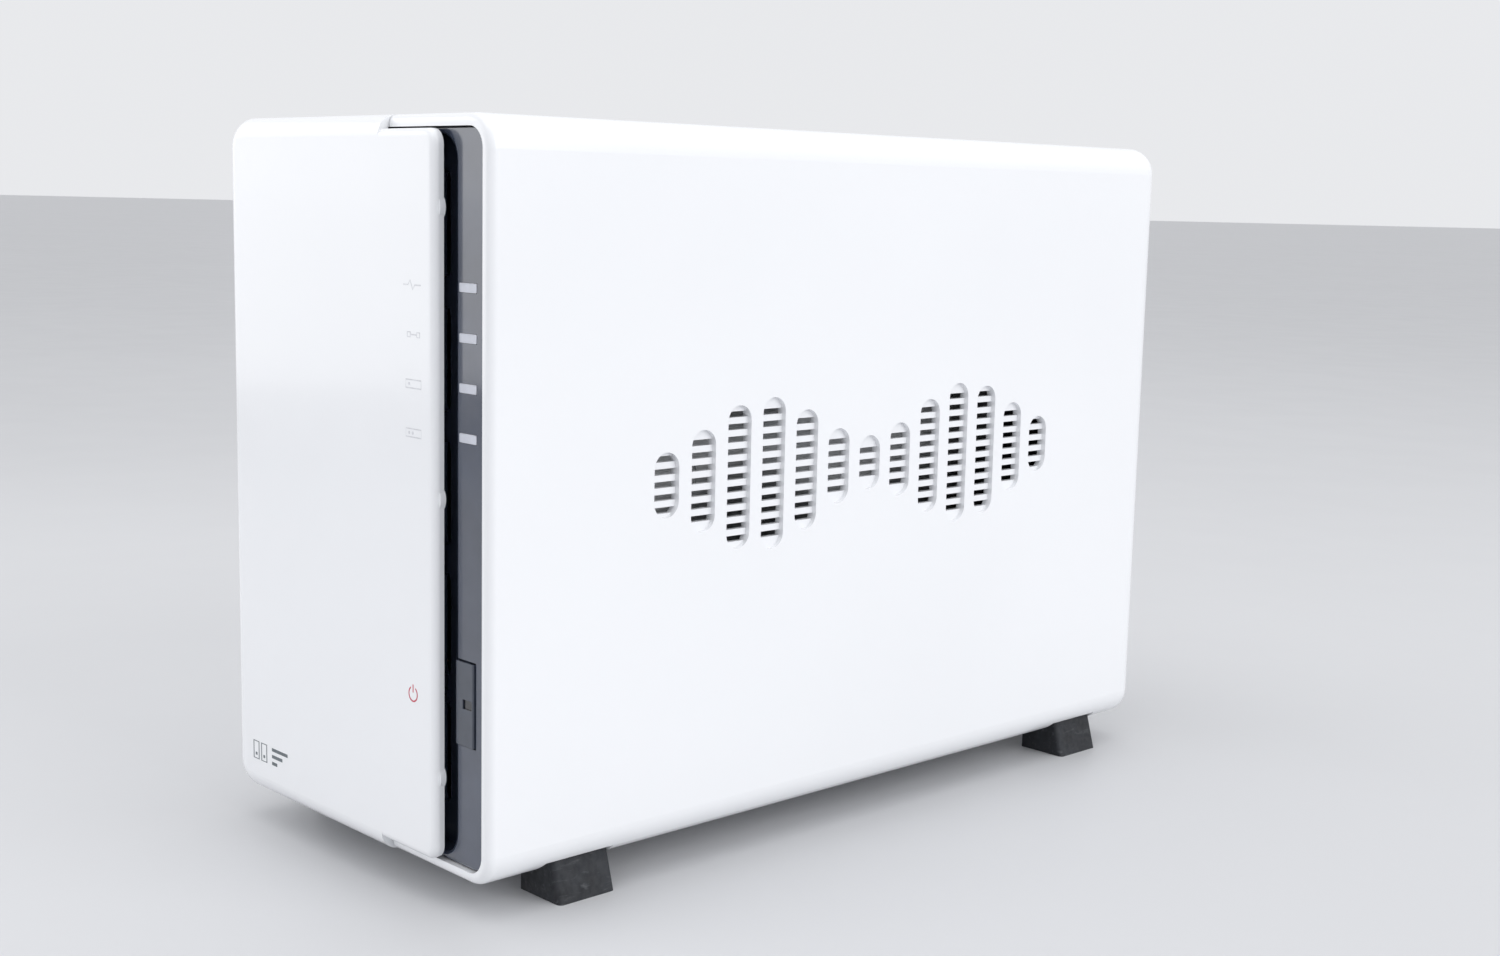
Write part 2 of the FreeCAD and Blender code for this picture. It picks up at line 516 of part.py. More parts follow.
# ---- fan ----------------------------------------------------------------------------
def fan_frame():
    half = FAN_SIZE / 2
    body = block_y(-half, half, FAN_Y0, FAN_Y1, FAN_Z - half, FAN_Z + half, 4.0)
    body = body.cut(rod_y(0, FAN_Z, FAN_BORE, FAN_Y0 - 1, FAN_Y1 + 1))
    relief = []
    for sx in (-1, 1):
        for sz in (-1, 1):
            x, z = sx * FAN_PITCH / 2, FAN_Z + sz * FAN_PITCH / 2
            body = body.cut(rod_y(x, z, 2.15, FAN_Y0 - 1, FAN_Y1 + 1))
    for k in range(4):
        waist = box(-26, 26, FAN_Y0 + 4, FAN_Y1 - 4, half - 0.7, half + 1)
        relief.append(waist.rotate(V(0, 0, 0), V(0, 1, 0), 90 * k).translate(V(0, 0, FAN_Z)))
    body = body.cut(relief)
    hub = rod_y(0, FAN_Z, HUB_R, FAN_Y1 - 3.5, FAN_Y1 - 0.4)
    arms = [box(0, FAN_BORE + 0.8, FAN_Y1 - 3.5, FAN_Y1 - 0.4, -1.8, 1.8).rotate(V(0, 0, 0), V(0, 1, 0), 45 + 90 * k)
            .translate(V(0, 0, FAN_Z)) for k in range(4)]
    tube = rod_y(0, FAN_Z, BEARING_R + 1.0, FAN_Y0 + 5.0, FAN_Y1 - 3.0)
    body = body.fuse(arms + [hub, tube])
    return body.cut(rod_y(0, FAN_Z, BEARING_R + 0.05, FAN_Y0 + 4.0, FAN_Y1 - 1.6)).removeSplitter()


def fan_bearing():
    outer = rod_y(0, FAN_Z, BEARING_R, FAN_Y0 + 5.4, FAN_Y1 - 3.0)
    return outer.cut(rod_y(0, FAN_Z, SHAFT_R + RUNNING, FAN_Y0, FAN_Y1))


def fan_stator():
    y0, y1 = FAN_Y0 + 8.0, FAN_Y1 - 6.0
    core = rod_y(0, FAN_Z, 7.5, y0, y1)
    for k in range(4):
        pole = box(5, 13.5, y0 + 1, y1 - 1, -2.2, 2.2).fuse(box(12.5, 14.5, y0, y1, -7.0, 7.0))
        core = core.fuse(pole.rotate(V(0, 0, 0), V(0, 1, 0), 90 * k).translate(V(0, 0, FAN_Z)))
    return core.cut(rod_y(0, FAN_Z, BEARING_R + 1.05, y0 - 1, y1 + 1)).removeSplitter()


def blade():
    """One swept blade, lofted through three twisted sections standing along +X."""
    wires = []
    for r, chord, pitch, thick, sweep in ((HUB_R - 1.2, 17.0, 46, 1.6, 0.0), (30.0, 21.0, 36, 1.3, 1.5),
                                          (BLADE_TIP, 25.0, 28, 1.0, 4.5)):
        a = math.radians(pitch)
        along, across = (math.sin(a), math.cos(a)), (math.cos(a), -math.sin(a))
        pts = []
        for s, t in ((-0.5, 0), (0, 0.5), (0.5, 0), (0, -0.5)):
            y = chord * s * along[0] + thick * t * across[0] + chord * (0.06 if s == 0 else 0)
            z = chord * s * along[1] + thick * t * across[1] + sweep
            pts.append(V(r, y, z))
        wires.append(Part.makePolygon(pts + [pts[0]]))
    return Part.makeLoft(wires, True, False)


def fan_rotor():
    y0 = FAN_Y0 + 1.6
    cup = rod_y(0, FAN_Z, HUB_R, y0, FAN_Y1 - 4.3)
    cup = cup.makeFillet(1.6, [e for e in edges_at_y(cup, y0)])
    cup = cup.cut(rod_y(0, FAN_Z, HUB_R - 1.8, y0 + 1.6, FAN_Y1))
    mid_y = (y0 + FAN_Y1 - 4.3) / 2
    blades = [blade().rotate(V(0, 0, 0), V(0, 1, 0), 360 / BLADES * k).translate(V(0, mid_y, FAN_Z))
              for k in range(BLADES)]
    limit = rod_y(0, FAN_Z, BLADE_TIP, y0 - 0.6, FAN_Y1 - 4.1)
    shaft = rod_y(0, FAN_Z, SHAFT_R, y0 + 1.0, FAN_Y1 - 3.6)
    inside = rod_y(0, FAN_Z, HUB_R - 1.8, y0 + 1.6, FAN_Y1)
    vanes = [b.common(limit).cut(inside) for b in blades]
    return cup.fuse(vanes + [shaft]).removeSplitter()


def fan_screws():
    return [screw(3.1, 2.3, 2.1, 9.0, (sx * FAN_PITCH / 2, PLATE_Y1, FAN_Z + sz * FAN_PITCH / 2), (0, 1, 0))
            for sx in (-1, 1) for sz in (-1, 1)]


# ---- boards and ports ---------------------------------------------------------------
def mainboard():
    board = box(*BOARD_X, *BOARD_Y, BOARD_Z, BOARD_TOP)
    tools = [rod_z(x, y, 1.6, BOARD_Z - 1, BOARD_TOP + 1) for x, y in BOARD_HOLES]
    return board.cut(tools)


def board_screws():
    return [screw(2.7, 1.5, 1.3, 4.6, (x, y, BOARD_TOP), (0, 0, 1)) for x, y in BOARD_HOLES]


def processor():
    return box(-9, 11, 0, 20, BOARD_TOP, BOARD_TOP + 1.8)


def heat_sink():
    z0 = BOARD_TOP + 1.8
    base = box(-16, 18, -7, 27, z0, z0 + 2.2)
    fins = [box(-16 + 3.6 * i, -16 + 3.6 * i + 1.2, -7, 27, z0 + 2, z0 + 14) for i in range(10)]
    return union([base] + fins)


def memory_chips():
    return [box(x, x + 8, y, y + 12.5, BOARD_TOP, BOARD_TOP + 1.1)
            for x, y in ((24, -2), (24, 14), (34, -2), (34, 14))]


def capacitors():
    found = []
    for x, y in ((34, 72), (24, 72), (34, 60), (-24, 40), (-24, 50), (-24, 60)):
        can = rod_z(x, y, 3.1, BOARD_TOP, BOARD_TOP + 9.5)
        found.append(can.makeFillet(0.6, [e for e in can.Edges if e.BoundBox.ZMin > BOARD_TOP + 9]))
    return found


def inductors():
    return [block_z(x, x + 7, y, y + 7, BOARD_TOP, BOARD_TOP + 4, 1.2) for x, y in ((6, 62), (-6, 62), (18, 46))]


def coin_cell():
    return rod_z(-16, -40, 10.0, BOARD_TOP + 1.2, BOARD_TOP + 4.4)


def cell_holder():
    body = rod_z(-16, -40, 11.8, BOARD_TOP, BOARD_TOP + 4.0)
    body = body.cut(rod_z(-16, -40, 10.15, BOARD_TOP + 1.15, BOARD_TOP + 6))
    return body.cut(box(-30, -2, -44, -36, BOARD_TOP + 2.6, BOARD_TOP + 6))


def header(x, y, w, d, h):
    """Open-topped pin header with a wall all round."""
    body = box(x - w / 2, x + w / 2, y - d / 2, y + d / 2, BOARD_TOP, BOARD_TOP + h)
    return body.cut(box(x - w / 2 + 0.8, x + w / 2 - 0.8, y - d / 2 + 0.8, y + d / 2 - 0.8, BOARD_TOP + 1.5,
                        BOARD_TOP + h + 1))


def backplane_slot():
    body = box(-28, 12, BACKPLANE_Y - 2.6, BACKPLANE_Y + 4.2, BOARD_TOP, BOARD_TOP + 9)
    return body.cut(box(-26.5, 10.5, BACKPLANE_Y - 0.1, BACKPLANE_Y + 1.7, BOARD_TOP + 2.4, BOARD_TOP + 10))


def sata_backplane():
    board = box(-33, 30, BACKPLANE_Y, BACKPLANE_Y + 1.6, BOARD_TOP + 10, 140)
    edge = box(-26, 10, BACKPLANE_Y, BACKPLANE_Y + 1.6, BOARD_TOP + 2.6, BOARD_TOP + 11)
    vents = [block_y(x, x + 12, BACKPLANE_Y - 1, BACKPLANE_Y + 3, 108, 130, 3) for x in (-24, -4, 14)]
    return board.fuse(edge).cut(vents).removeSplitter()


def sata_socket(x0):
    z0 = DRIVE_Z + CONNECTOR_MID
    body = box(x0 + 1.9, x0 + 6.1, BACKPLANE_Y + 1.6, DRIVE_Y + 5.2, z0 - 16.9, z0 + 16.9)
    rim = box(x0 + 1.2, x0 + 7.0, BACKPLANE_Y + 1.6, DRIVE_Y - 2.0, z0 - 19.5, z0 + 19.5)
    slit = box(x0 + 3.3, x0 + 4.9, DRIVE_Y - 1.0, DRIVE_Y + 6, z0 - 16.0, z0 + 16.0)
    return body.fuse(rim).cut(slit).removeSplitter()


def usb_port(x):
    z0 = BOARD_TOP
    body = box(x - 7.1, x + 7.1, 94.0, PORT_FACE, z0, z0 + 7.2)
    return body.cut(box(x - 6.25, x + 6.25, 96.0, PORT_FACE + 1, z0 + 1.0, z0 + 6.1))


def usb_tongue(x):
    return box(x - 5.5, x + 5.5, 96.0, PORT_FACE - 1.0, BOARD_TOP + 3.9, BOARD_TOP + 5.7)


def lan_port():
    z0 = BOARD_TOP
    body = box(LAN_X - 8.0, LAN_X + 8.0, 89.5, PORT_FACE, z0, z0 + 13.5)
    tools = [box(LAN_X - 5.9, LAN_X + 5.9, 97.5, PORT_FACE + 1, z0 + 3.6, z0 + 11.6),
             box(LAN_X - 3.2, LAN_X + 3.2, 97.5, PORT_FACE + 1, z0 + 2.0, z0 + 3.7),
             box(LAN_X - 1.7, LAN_X + 1.7, 97.5, PORT_FACE + 1, z0 + 0.8, z0 + 2.1)]
    return body.cut(tools)


def dc_jack():
    body = box(JACK_X - 4.6, JACK_X + 4.6, 95.0, PLATE_Y0 - 0.3, BOARD_TOP, BOARD_TOP + 11.0)
    barrel = rod_y(JACK_X, JACK_Z, 4.1, PLATE_Y0 - 1.0, PORT_FACE)
    body = body.fuse(barrel).cut(rod_y(JACK_X, JACK_Z, 3.2, 100.5, PORT_FACE + 1))
    return body.fuse(rod_y(JACK_X, JACK_Z, 1.25, 99.5, PORT_FACE - 0.8)).removeSplitter()


def reset_switch():
    body = box(RESET_X - 2.4, RESET_X + 2.4, 99.0, 104.0, BOARD_TOP, RESET_Z + 3.0)
    return body.cut(rod_y(RESET_X, RESET_Z, 1.35, 102.0, 105.0))


def reset_button():
    return rod_y(RESET_X, RESET_Z, 1.25, 102.8, PLATE_Y0 - 0.5)


# ---- drives -------------------------------------------------------------------------
def in_bay(shape, x0):
    """Moves a drive piece from its own frame (thickness, length, width) into a bay."""
    return shape.translate(V(x0, DRIVE_Y, DRIVE_Z))


def drive_base():
    t, l, w = 24.9, DRIVE_LENGTH, DRIVE_WIDTH
    body = box(0, t, 0, l, 0, w)
    body = body.makeFillet(2.5, edges_along(body, V(1, 0, 0)))
    tools = [box(-1, 2.2, -1, l - 14, 6.5, w - 6.5),
             box(-1, 8.4, -1, 9.4, CONNECTOR_MID - 19.6, CONNECTOR_MID + 19.6),
             rod(5.5, 92, w / 2, 45.6, t, V(1, 0, 0)),
             box(5.5, t + 1, 14, 60, 8, w - 8)]
    for b in DRIVE_HOLES:
        for c in (-1, w - 6):
            tools.append(rod_z(DRIVE_HOLE_UP, b, 1.75, c, c + 7))
    tools += [box(20.5, t + 1, -1, 4, 12, w - 12), box(10, 17, l - 2, l + 1, 16, w - 16)]
    return body.cut(tools)


LID_SCREWS = ((8.5, 8.5), (8.5, 93.1), (138.5, 8.5), (138.5, 93.1), (74.0, 4.6), (74.0, 97.0))


def drive_lid():
    plate = block_x(24.9, 25.6, 5, DRIVE_LENGTH - 1.5, 1.5, DRIVE_WIDTH - 1.5, 6)
    dome = rod(25.5, 92, DRIVE_WIDTH / 2, 44, 0.6, V(1, 0, 0))
    arm = block_x(25.5, 26.1, 18, 66, 14, 72, 10)
    hub = rod(25.8, 92, DRIVE_WIDTH / 2, 9, 0.6, V(1, 0, 0))
    pivot = rod(25.8, 34, 34, 6, 0.6, V(1, 0, 0))
    seats = [rod(25.55, b, c, 3.2, 1.0, V(1, 0, 0)) for b, c in LID_SCREWS]
    return plate.fuse([dome, arm]).cut([hub, pivot] + seats).removeSplitter()


def drive_board():
    board = box(0.5, 2.1, 10.5, 88, 8, DRIVE_WIDTH - 8)
    board = board.cut(rod(0, 88, DRIVE_WIDTH / 2, 15, 3, V(1, 0, 0)))
    motor = rod(0.5, 92, DRIVE_WIDTH / 2, 12.5, 1.65, V(1, 0, 0))
    return [board, motor]


def drive_connector():
    m = CONNECTOR_MID
    body = box(0.6, 8.0, 0.3, 9.2, m - 19.0, m + 19.0)
    body = body.cut(box(1.5, 6.5, -1, 6.0, m - 17.3, m + 17.3))
    return body.fuse(box(3.55, 4.65, 0.9, 6.5, m - 15.6, m + 15.6)).removeSplitter()


def drive_screws(x0):
    """Mounting screws through the cage flanges, and the lid screws."""
    found = []
    for b in DRIVE_HOLES:
        y = DRIVE_Y + b
        found.append(screw(3.2, 1.8, 1.7, 5.6, (x0 + DRIVE_HOLE_UP, y, CAGE_Z1 + 0.05), (0, 0, 1)))
        found.append(screw(3.2, 1.8, 1.7, 5.6, (x0 + DRIVE_HOLE_UP, y, CAGE_Z0 - 0.05), (0, 0, -1)))
    for b, c in LID_SCREWS:
        found.append(in_bay(rod(25.56, b, c, 2.4, 0.5, V(1, 0, 0)), x0))
    return found


# ---- all nodes ----------------------------------------------------------------------
def all_nodes():
    nodes = {
        "base_shell": base_shell(),
        "side_cover": side_cover(),
        "front_bezel": front_bezel(),
        "power_button": power_button(),
        "power_lens": power_lens(),
        "power_switch": power_switch(),
        "power_switch_plunger": power_plunger(),
        "front_board": front_board(),
        "front_board_socket": front_socket(),
        "indicator_leds": indicator_leds(),
        "drive_cage": drive_cage(),
        "chassis_frame": chassis_frame(),
        "frame_screws": frame_screws(),
        "back_plate": back_plate(),
        "cover_screws": cover_screws(),
        "fan_frame": fan_frame(),
        "fan_bearing": fan_bearing(),
        "fan_stator": fan_stator(),
        "fan_rotor": fan_rotor(),
        "fan_screws": fan_screws(),
        "mainboard": mainboard(),
        "mainboard_screws": board_screws(),
        "processor": processor(),
        "heat_sink": heat_sink(),
        "memory_chips": memory_chips(),
        "capacitors": capacitors(),
        "power_inductors": inductors(),
        "coin_cell": coin_cell(),
        "coin_cell_holder": cell_holder(),
        "board_headers": [header(-27, 82, 8, 6, 7), header(37, -78, 9, 6, 7)],
        "backplane_slot": backplane_slot(),
        "sata_backplane": sata_backplane(),
        "sata_sockets": [sata_socket(x) for x in DRIVE_X],
        "lan_port": lan_port(),
        "dc_jack": dc_jack(),
        "usb_tongues": [usb_tongue(x) for x in USB_X],
        "reset_switch": reset_switch(),
        "reset_button": reset_button(),
        "fan_cable": cable(((-33, 92, 59), (-33, 92, 50), (-30, 86, 42), (-27, 82, 35), (-27, 82, 26)), 1.5),
        "front_cable": cable(((LED_X, -94.4, 33.5), (LED_X, -89, 33.5), (39.5, -83, 33.4), (37.3, -78.3, 31.6),
                              (37, -78, 26)), 1.4),
    }
    for name, z in zip(LED_NAMES, LED_Z):
        nodes["light_pipe_" + name] = light_pipe(z)
    for i, x in enumerate(USB_X):
        nodes[f"usb_port_{i + 1}"] = usb_port(x)
    for i, x0 in enumerate(DRIVE_X):
        drive = f"drive_{i + 1}_"
        nodes[drive + "base"] = in_bay(drive_base(), x0)
        nodes[drive + "lid"] = in_bay(drive_lid(), x0)
        nodes[drive + "board"] = [in_bay(s, x0) for s in drive_board()]
        nodes[drive + "connector"] = in_bay(drive_connector(), x0)
        nodes[drive + "screws"] = drive_screws(x0)
    for place, y in zip(("front", "rear"), FOOT_Y):
        nodes[f"foot_{place}_right"] = foot(y)
        nodes[f"foot_{place}_left"] = mirror_x(foot(y))
    return nodes


os.makedirs("parts", exist_ok=True)
for stale in os.listdir("parts"):
    os.remove(os.path.join("parts", stale))
for node, made in all_nodes().items():
    shape = Part.makeCompound(made) if isinstance(made, list) else made
    problems = [s for s in shape.Solids if not s.isValid() or s.Volume <= 0]
    expected = len(made) if isinstance(made, list) else 1
    if problems or len(shape.Solids) != expected:
        print("CHECK", node, "solids", len(shape.Solids), "expected", expected, "bad", len(problems))
    shape.exportStep(f"parts/{node}.step")
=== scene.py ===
"""Looks of the two-bay network attached storage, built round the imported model. Metres, row frame."""

import json
import math
import random

import bmesh
import bpy
from mathutils import Matrix, Vector

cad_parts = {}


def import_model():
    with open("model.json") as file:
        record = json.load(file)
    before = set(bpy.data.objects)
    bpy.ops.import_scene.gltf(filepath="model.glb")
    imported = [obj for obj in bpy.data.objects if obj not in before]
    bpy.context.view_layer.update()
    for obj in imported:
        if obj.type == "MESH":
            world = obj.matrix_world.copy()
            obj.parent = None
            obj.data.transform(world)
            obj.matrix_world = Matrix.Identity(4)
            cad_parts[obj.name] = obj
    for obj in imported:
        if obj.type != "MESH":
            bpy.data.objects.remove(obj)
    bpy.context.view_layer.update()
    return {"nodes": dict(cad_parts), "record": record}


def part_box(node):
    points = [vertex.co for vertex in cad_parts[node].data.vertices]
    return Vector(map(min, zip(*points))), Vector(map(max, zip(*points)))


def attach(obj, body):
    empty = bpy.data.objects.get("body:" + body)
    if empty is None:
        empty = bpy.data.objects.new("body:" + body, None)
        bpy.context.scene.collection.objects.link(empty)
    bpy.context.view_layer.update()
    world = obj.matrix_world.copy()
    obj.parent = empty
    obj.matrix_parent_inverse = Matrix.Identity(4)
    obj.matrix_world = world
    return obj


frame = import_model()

NODES = frame["nodes"]
MM = 0.001
rng = random.Random(7)


# ---- materials ----------------------------------------------------------------------
class Nodes:
    """One material's node tree, with short calls for the nodes used here."""

    def __init__(self, name, color, rough, metallic=0.0, coat=0.0, coat_rough=0.05, ior=1.5,
                 sheen=0.0, subsurface=0.0):
        self.mat = bpy.data.materials.new(name)
        self.mat.use_nodes = True
        self.tree = self.mat.node_tree
        self.shader = self.tree.nodes["Principled BSDF"]
        self.color = color
        self.rough = rough
        put = self.shader.inputs
        put["Base Color"].default_value = (*color, 1.0)
        put["Roughness"].default_value = rough
        put["Metallic"].default_value = metallic
        put["Coat Weight"].default_value = coat
        put["Coat Roughness"].default_value = coat_rough
        put["IOR"].default_value = ior
        put["Sheen Weight"].default_value = sheen
        put["Subsurface Weight"].default_value = subsurface
        put["Subsurface Radius"].default_value = (0.002, 0.002, 0.002)
        put["Subsurface Scale"].default_value = 1.0
        self.coords = self.add("ShaderNodeTexCoord").outputs["Object"]

    def add(self, kind, **settings):
        node = self.tree.nodes.new(kind)
        for key, value in settings.items():
            setattr(node, key, value)
        return node

    def join(self, a, b):
        self.tree.links.new(a, b)

    def stretched(self, scale):
        node = self.add("ShaderNodeMapping")
        node.inputs["Scale"].default_value = scale
        self.join(self.coords, node.inputs["Vector"])
        return node.outputs["Vector"]

    def noise(self, scale, detail=4.0, stretch=None, distortion=0.0):
        node = self.add("ShaderNodeTexNoise")
        node.inputs["Scale"].default_value = scale
        node.inputs["Detail"].default_value = detail
        node.inputs["Distortion"].default_value = distortion
        self.join(self.stretched(stretch) if stretch else self.coords, node.inputs["Vector"])
        return node.outputs["Fac"]

    def remap(self, value, lo, hi, a=0.3, b=0.7):
        """Takes a to b onto lo to hi. Noise lies mostly between 0.3 and 0.7."""
        node = self.add("ShaderNodeMapRange")
        for key, number in (("From Min", a), ("From Max", b), ("To Min", lo), ("To Max", hi)):
            node.inputs[key].default_value = number
        self.join(value, node.inputs["Value"])
        return node.outputs["Result"]

    def math(self, how, a, b=None):
        node = self.add("ShaderNodeMath", operation=how)
        for socket, given in zip(node.inputs, (a, b)):
            if given is None:
                continue
            if isinstance(given, (int, float)):
                socket.default_value = given
            else:
                self.join(given, socket)
        return node.outputs["Value"]

    def mix(self, factor, a, b):
        node = self.add("ShaderNodeMix", data_type="RGBA")
        self.join(factor, node.inputs["Factor"])
        for key, given in (("A", a), ("B", b)):
            socket = [s for s in node.inputs if s.name == key and s.type == "RGBA"][0]
            if isinstance(given, tuple):
                socket.default_value = (*given, 1.0)
            else:
                self.join(given, socket)
        return [s for s in node.outputs if s.type == "RGBA"][0]

    def vary_color(self, scale, low, high, detail=3.0, stretch=None):
        """Colour drifts between low and high times the base colour."""
        dim = tuple(c * low for c in self.color)
        bright = tuple(min(1.0, c * high) for c in self.color)
        self.paint(self.mix(self.remap(self.noise(scale, detail, stretch), 0.0, 1.0), dim, bright))

    def vary_rough(self, scale, spread, detail=4.0, stretch=None):
        """Roughness drifts by spread either way from the base value."""
        low = max(0.02, self.rough - spread)
        self.join(self.remap(self.noise(scale, detail, stretch), low, self.rough + spread),
                  self.shader.inputs["Roughness"])

    def bump(self, height, strength, distance=0.0001):
        node = self.add("ShaderNodeBump")
        node.inputs["Strength"].default_value = strength
        node.inputs["Distance"].default_value = distance
        self.join(height, node.inputs["Height"])
        self.join(node.outputs["Normal"], self.shader.inputs["Normal"])

    def paint(self, output):
        self.join(output, self.shader.inputs["Base Color"])


def white_case():
    n = Nodes("white_case", (0.86, 0.87, 0.892), 0.2, coat=0.35, coat_rough=0.08)
    n.vary_color(9.0, 0.985, 1.01)
    n.vary_rough(60.0, 0.035)
    n.bump(n.noise(2600.0, 2.0), 0.05, 0.00002)
    return n.mat


def bezel_plastic():
    n = Nodes("bezel_plastic", (0.042, 0.053, 0.084), 0.14, coat=0.8, coat_rough=0.06, ior=1.53)
    n.vary_color(70.0, 0.85, 1.15)
    n.vary_rough(300.0, 0.04)
    n.bump(n.noise(1800.0, 2.0), 0.06, 0.00002)
    return n.mat


def button_plastic():
    n = Nodes("button_plastic", (0.040, 0.050, 0.072), 0.2, coat=0.5, coat_rough=0.1)
    n.vary_color(150.0, 0.9, 1.12)
    n.vary_rough(500.0, 0.06)
    n.bump(n.noise(3500.0, 2.0), 0.08, 0.00002)
    return n.mat


def frosted_plastic():
    n = Nodes("frosted_plastic", (0.60, 0.62, 0.69), 0.38, subsurface=0.25, ior=1.49)
    n.vary_color(400.0, 0.96, 1.06)
    n.vary_rough(1500.0, 0.06)
    n.bump(n.noise(5000.0, 2.0), 0.2, 0.00002)
    return n.mat


def plain_plastic(name, color, rough, grain=2200.0, strength=0.3, coat=0.0):
    n = Nodes(name, color, rough, coat=coat)
    n.vary_color(120.0, 0.88, 1.12)
    n.vary_rough(600.0, 0.07)
    n.bump(n.noise(grain, 3.0), strength, 0.00004)
    return n.mat


def foot_rubber():
    n = Nodes("foot_rubber", (0.014, 0.016, 0.020), 0.66)
    blotch = n.mix(n.remap(n.noise(160.0, 6.0), 0.0, 1.0), (0.009, 0.010, 0.013), (0.022, 0.025, 0.031))
    scuff = n.remap(n.noise(900.0, 6.0, (1.0, 0.22, 1.0), 0.6), 0.0, 1.0, 0.58, 0.80)
    n.paint(n.mix(scuff, blotch, (0.075, 0.08, 0.088)))
    n.vary_rough(700.0, 0.12)
    grain = n.math("ADD", n.noise(1500.0, 5.0), n.math("MULTIPLY", n.noise(260.0, 3.0), 1.6))
    n.bump(grain, 0.5, 0.00012)
    return n.mat


def circuit_board(name, color):
    """Solder mask over copper: traces as fine ridges, with dots of bare pad."""
    n = Nodes(name, color, 0.32, coat=0.4, coat_rough=0.15)
    cells = n.add("ShaderNodeTexVoronoi", distance="MANHATTAN", feature="F1")
    cells.inputs["Scale"].default_value = 260.0
    n.join(n.coords, cells.inputs["Vector"])
    lines = n.math("FRACT", n.math("MULTIPLY", cells.outputs["Distance"], 5.0))
    trace = n.remap(lines, 0.0, 1.0, 0.42, 0.58)
    light = tuple(min(1.0, c * 1.7 + 0.01) for c in color)
    painted = n.mix(trace, color, light)
    pads = n.add("ShaderNodeTexVoronoi", feature="F1")
    pads.inputs["Scale"].default_value = 230.0
    n.join(n.coords, pads.inputs["Vector"])
    pad = n.remap(pads.outputs["Distance"], 1.0, 0.0, 0.10, 0.14)
    n.paint(n.mix(pad, painted, (0.62, 0.55, 0.36)))
    n.vary_rough(400.0, 0.06)
    n.bump(trace, 0.25, 0.00004)
    return n.mat


def sheet_metal(name, color, rough, stretch, metallic=1.0, mottle=0.12):
    n = Nodes(name, color, rough, metallic=metallic)
    n.vary_color(45.0, 1 - mottle, 1 + mottle, 5.0)
    n.vary_rough(240.0, 0.09, 5.0, stretch)
    n.bump(n.noise(900.0, 4.0, stretch), 0.18, 0.00003)
    return n.mat


def zinc_sheet():
    """Galvanised sheet with a faint crystal spangle."""
    n = Nodes("sheet_steel", (0.56, 0.575, 0.59), 0.34, metallic=1.0)
    cells = n.add("ShaderNodeTexVoronoi", feature="F1")
    cells.inputs["Scale"].default_value = 170.0
    n.join(n.coords, cells.inputs["Vector"])
    shade = n.add("ShaderNodeSeparateColor")
    n.join(cells.outputs["Color"], shade.inputs["Color"])
    n.paint(n.mix(shade.outputs["Red"], (0.47, 0.485, 0.50), (0.64, 0.65, 0.665)))
    n.join(n.remap(shade.outputs["Green"], 0.25, 0.45, 0.0, 1.0), n.shader.inputs["Roughness"])
    n.bump(n.noise(1200.0, 3.0), 0.12, 0.00002)
    return n.mat


def painted_plate():
    n = Nodes("plate_steel", (0.60, 0.61, 0.63), 0.42, coat=0.15, coat_rough=0.25)
    n.vary_color(30.0, 0.96, 1.03)
    n.vary_rough(900.0, 0.06)
    n.bump(n.noise(1600.0, 4.0), 0.45, 0.00006)
    return n.mat


def cast_metal():
    n = Nodes("cast_aluminium", (0.40, 0.41, 0.42), 0.46, metallic=1.0)
    n.vary_color(220.0, 0.82, 1.12, 6.0)
    n.vary_rough(500.0, 0.1)
    n.bump(n.noise(1400.0, 6.0), 0.55, 0.0001)
    return n.mat


def braided_sleeve():
    n = Nodes("cable_sleeve", (0.02, 0.02, 0.022), 0.6, sheen=0.2)
    weave = n.add("ShaderNodeTexWave", wave_type="BANDS", bands_direction="DIAGONAL")
    weave.inputs["Scale"].default_value = 700.0
    weave.inputs["Distortion"].default_value = 1.5
    n.join(n.coords, weave.inputs["Vector"])
    n.paint(n.mix(weave.outputs["Fac"], (0.012, 0.012, 0.014), (0.05, 0.05, 0.055)))
    n.vary_rough(800.0, 0.1)
    n.bump(weave.outputs["Fac"], 0.5, 0.0001)
    return n.mat


def winding_copper():
    n = Nodes("winding_copper", (0.55, 0.22, 0.09), 0.3, metallic=1.0, coat=0.5, coat_rough=0.1)
    turns = n.add("ShaderNodeTexWave", wave_type="BANDS", bands_direction="Y")
    turns.inputs["Scale"].default_value = 560.0
    n.join(n.coords, turns.inputs["Vector"])
    n.paint(n.mix(turns.outputs["Fac"], (0.26, 0.09, 0.04), (0.66, 0.29, 0.13)))
    n.vary_rough(300.0, 0.08)
    n.bump(turns.outputs["Fac"], 0.6, 0.0001)
    return n.mat


def printed_ink(name, color):
    n = Nodes(name, color, 0.42)
    n.vary_color(900.0, 0.9, 1.1)
    n.vary_rough(1500.0, 0.06)
    n.bump(n.noise(4000.0, 2.0), 0.2, 0.00001)
    return n.mat


def label_paper(name, color, fibre):
    n = Nodes(name, color, 0.5, coat=0.1, coat_rough=0.3)
    n.vary_color(260.0, 0.95, 1.03, 6.0)
    n.vary_rough(700.0, 0.08)
    n.bump(n.noise(fibre, 5.0), 0.2, 0.00003)
    return n.mat


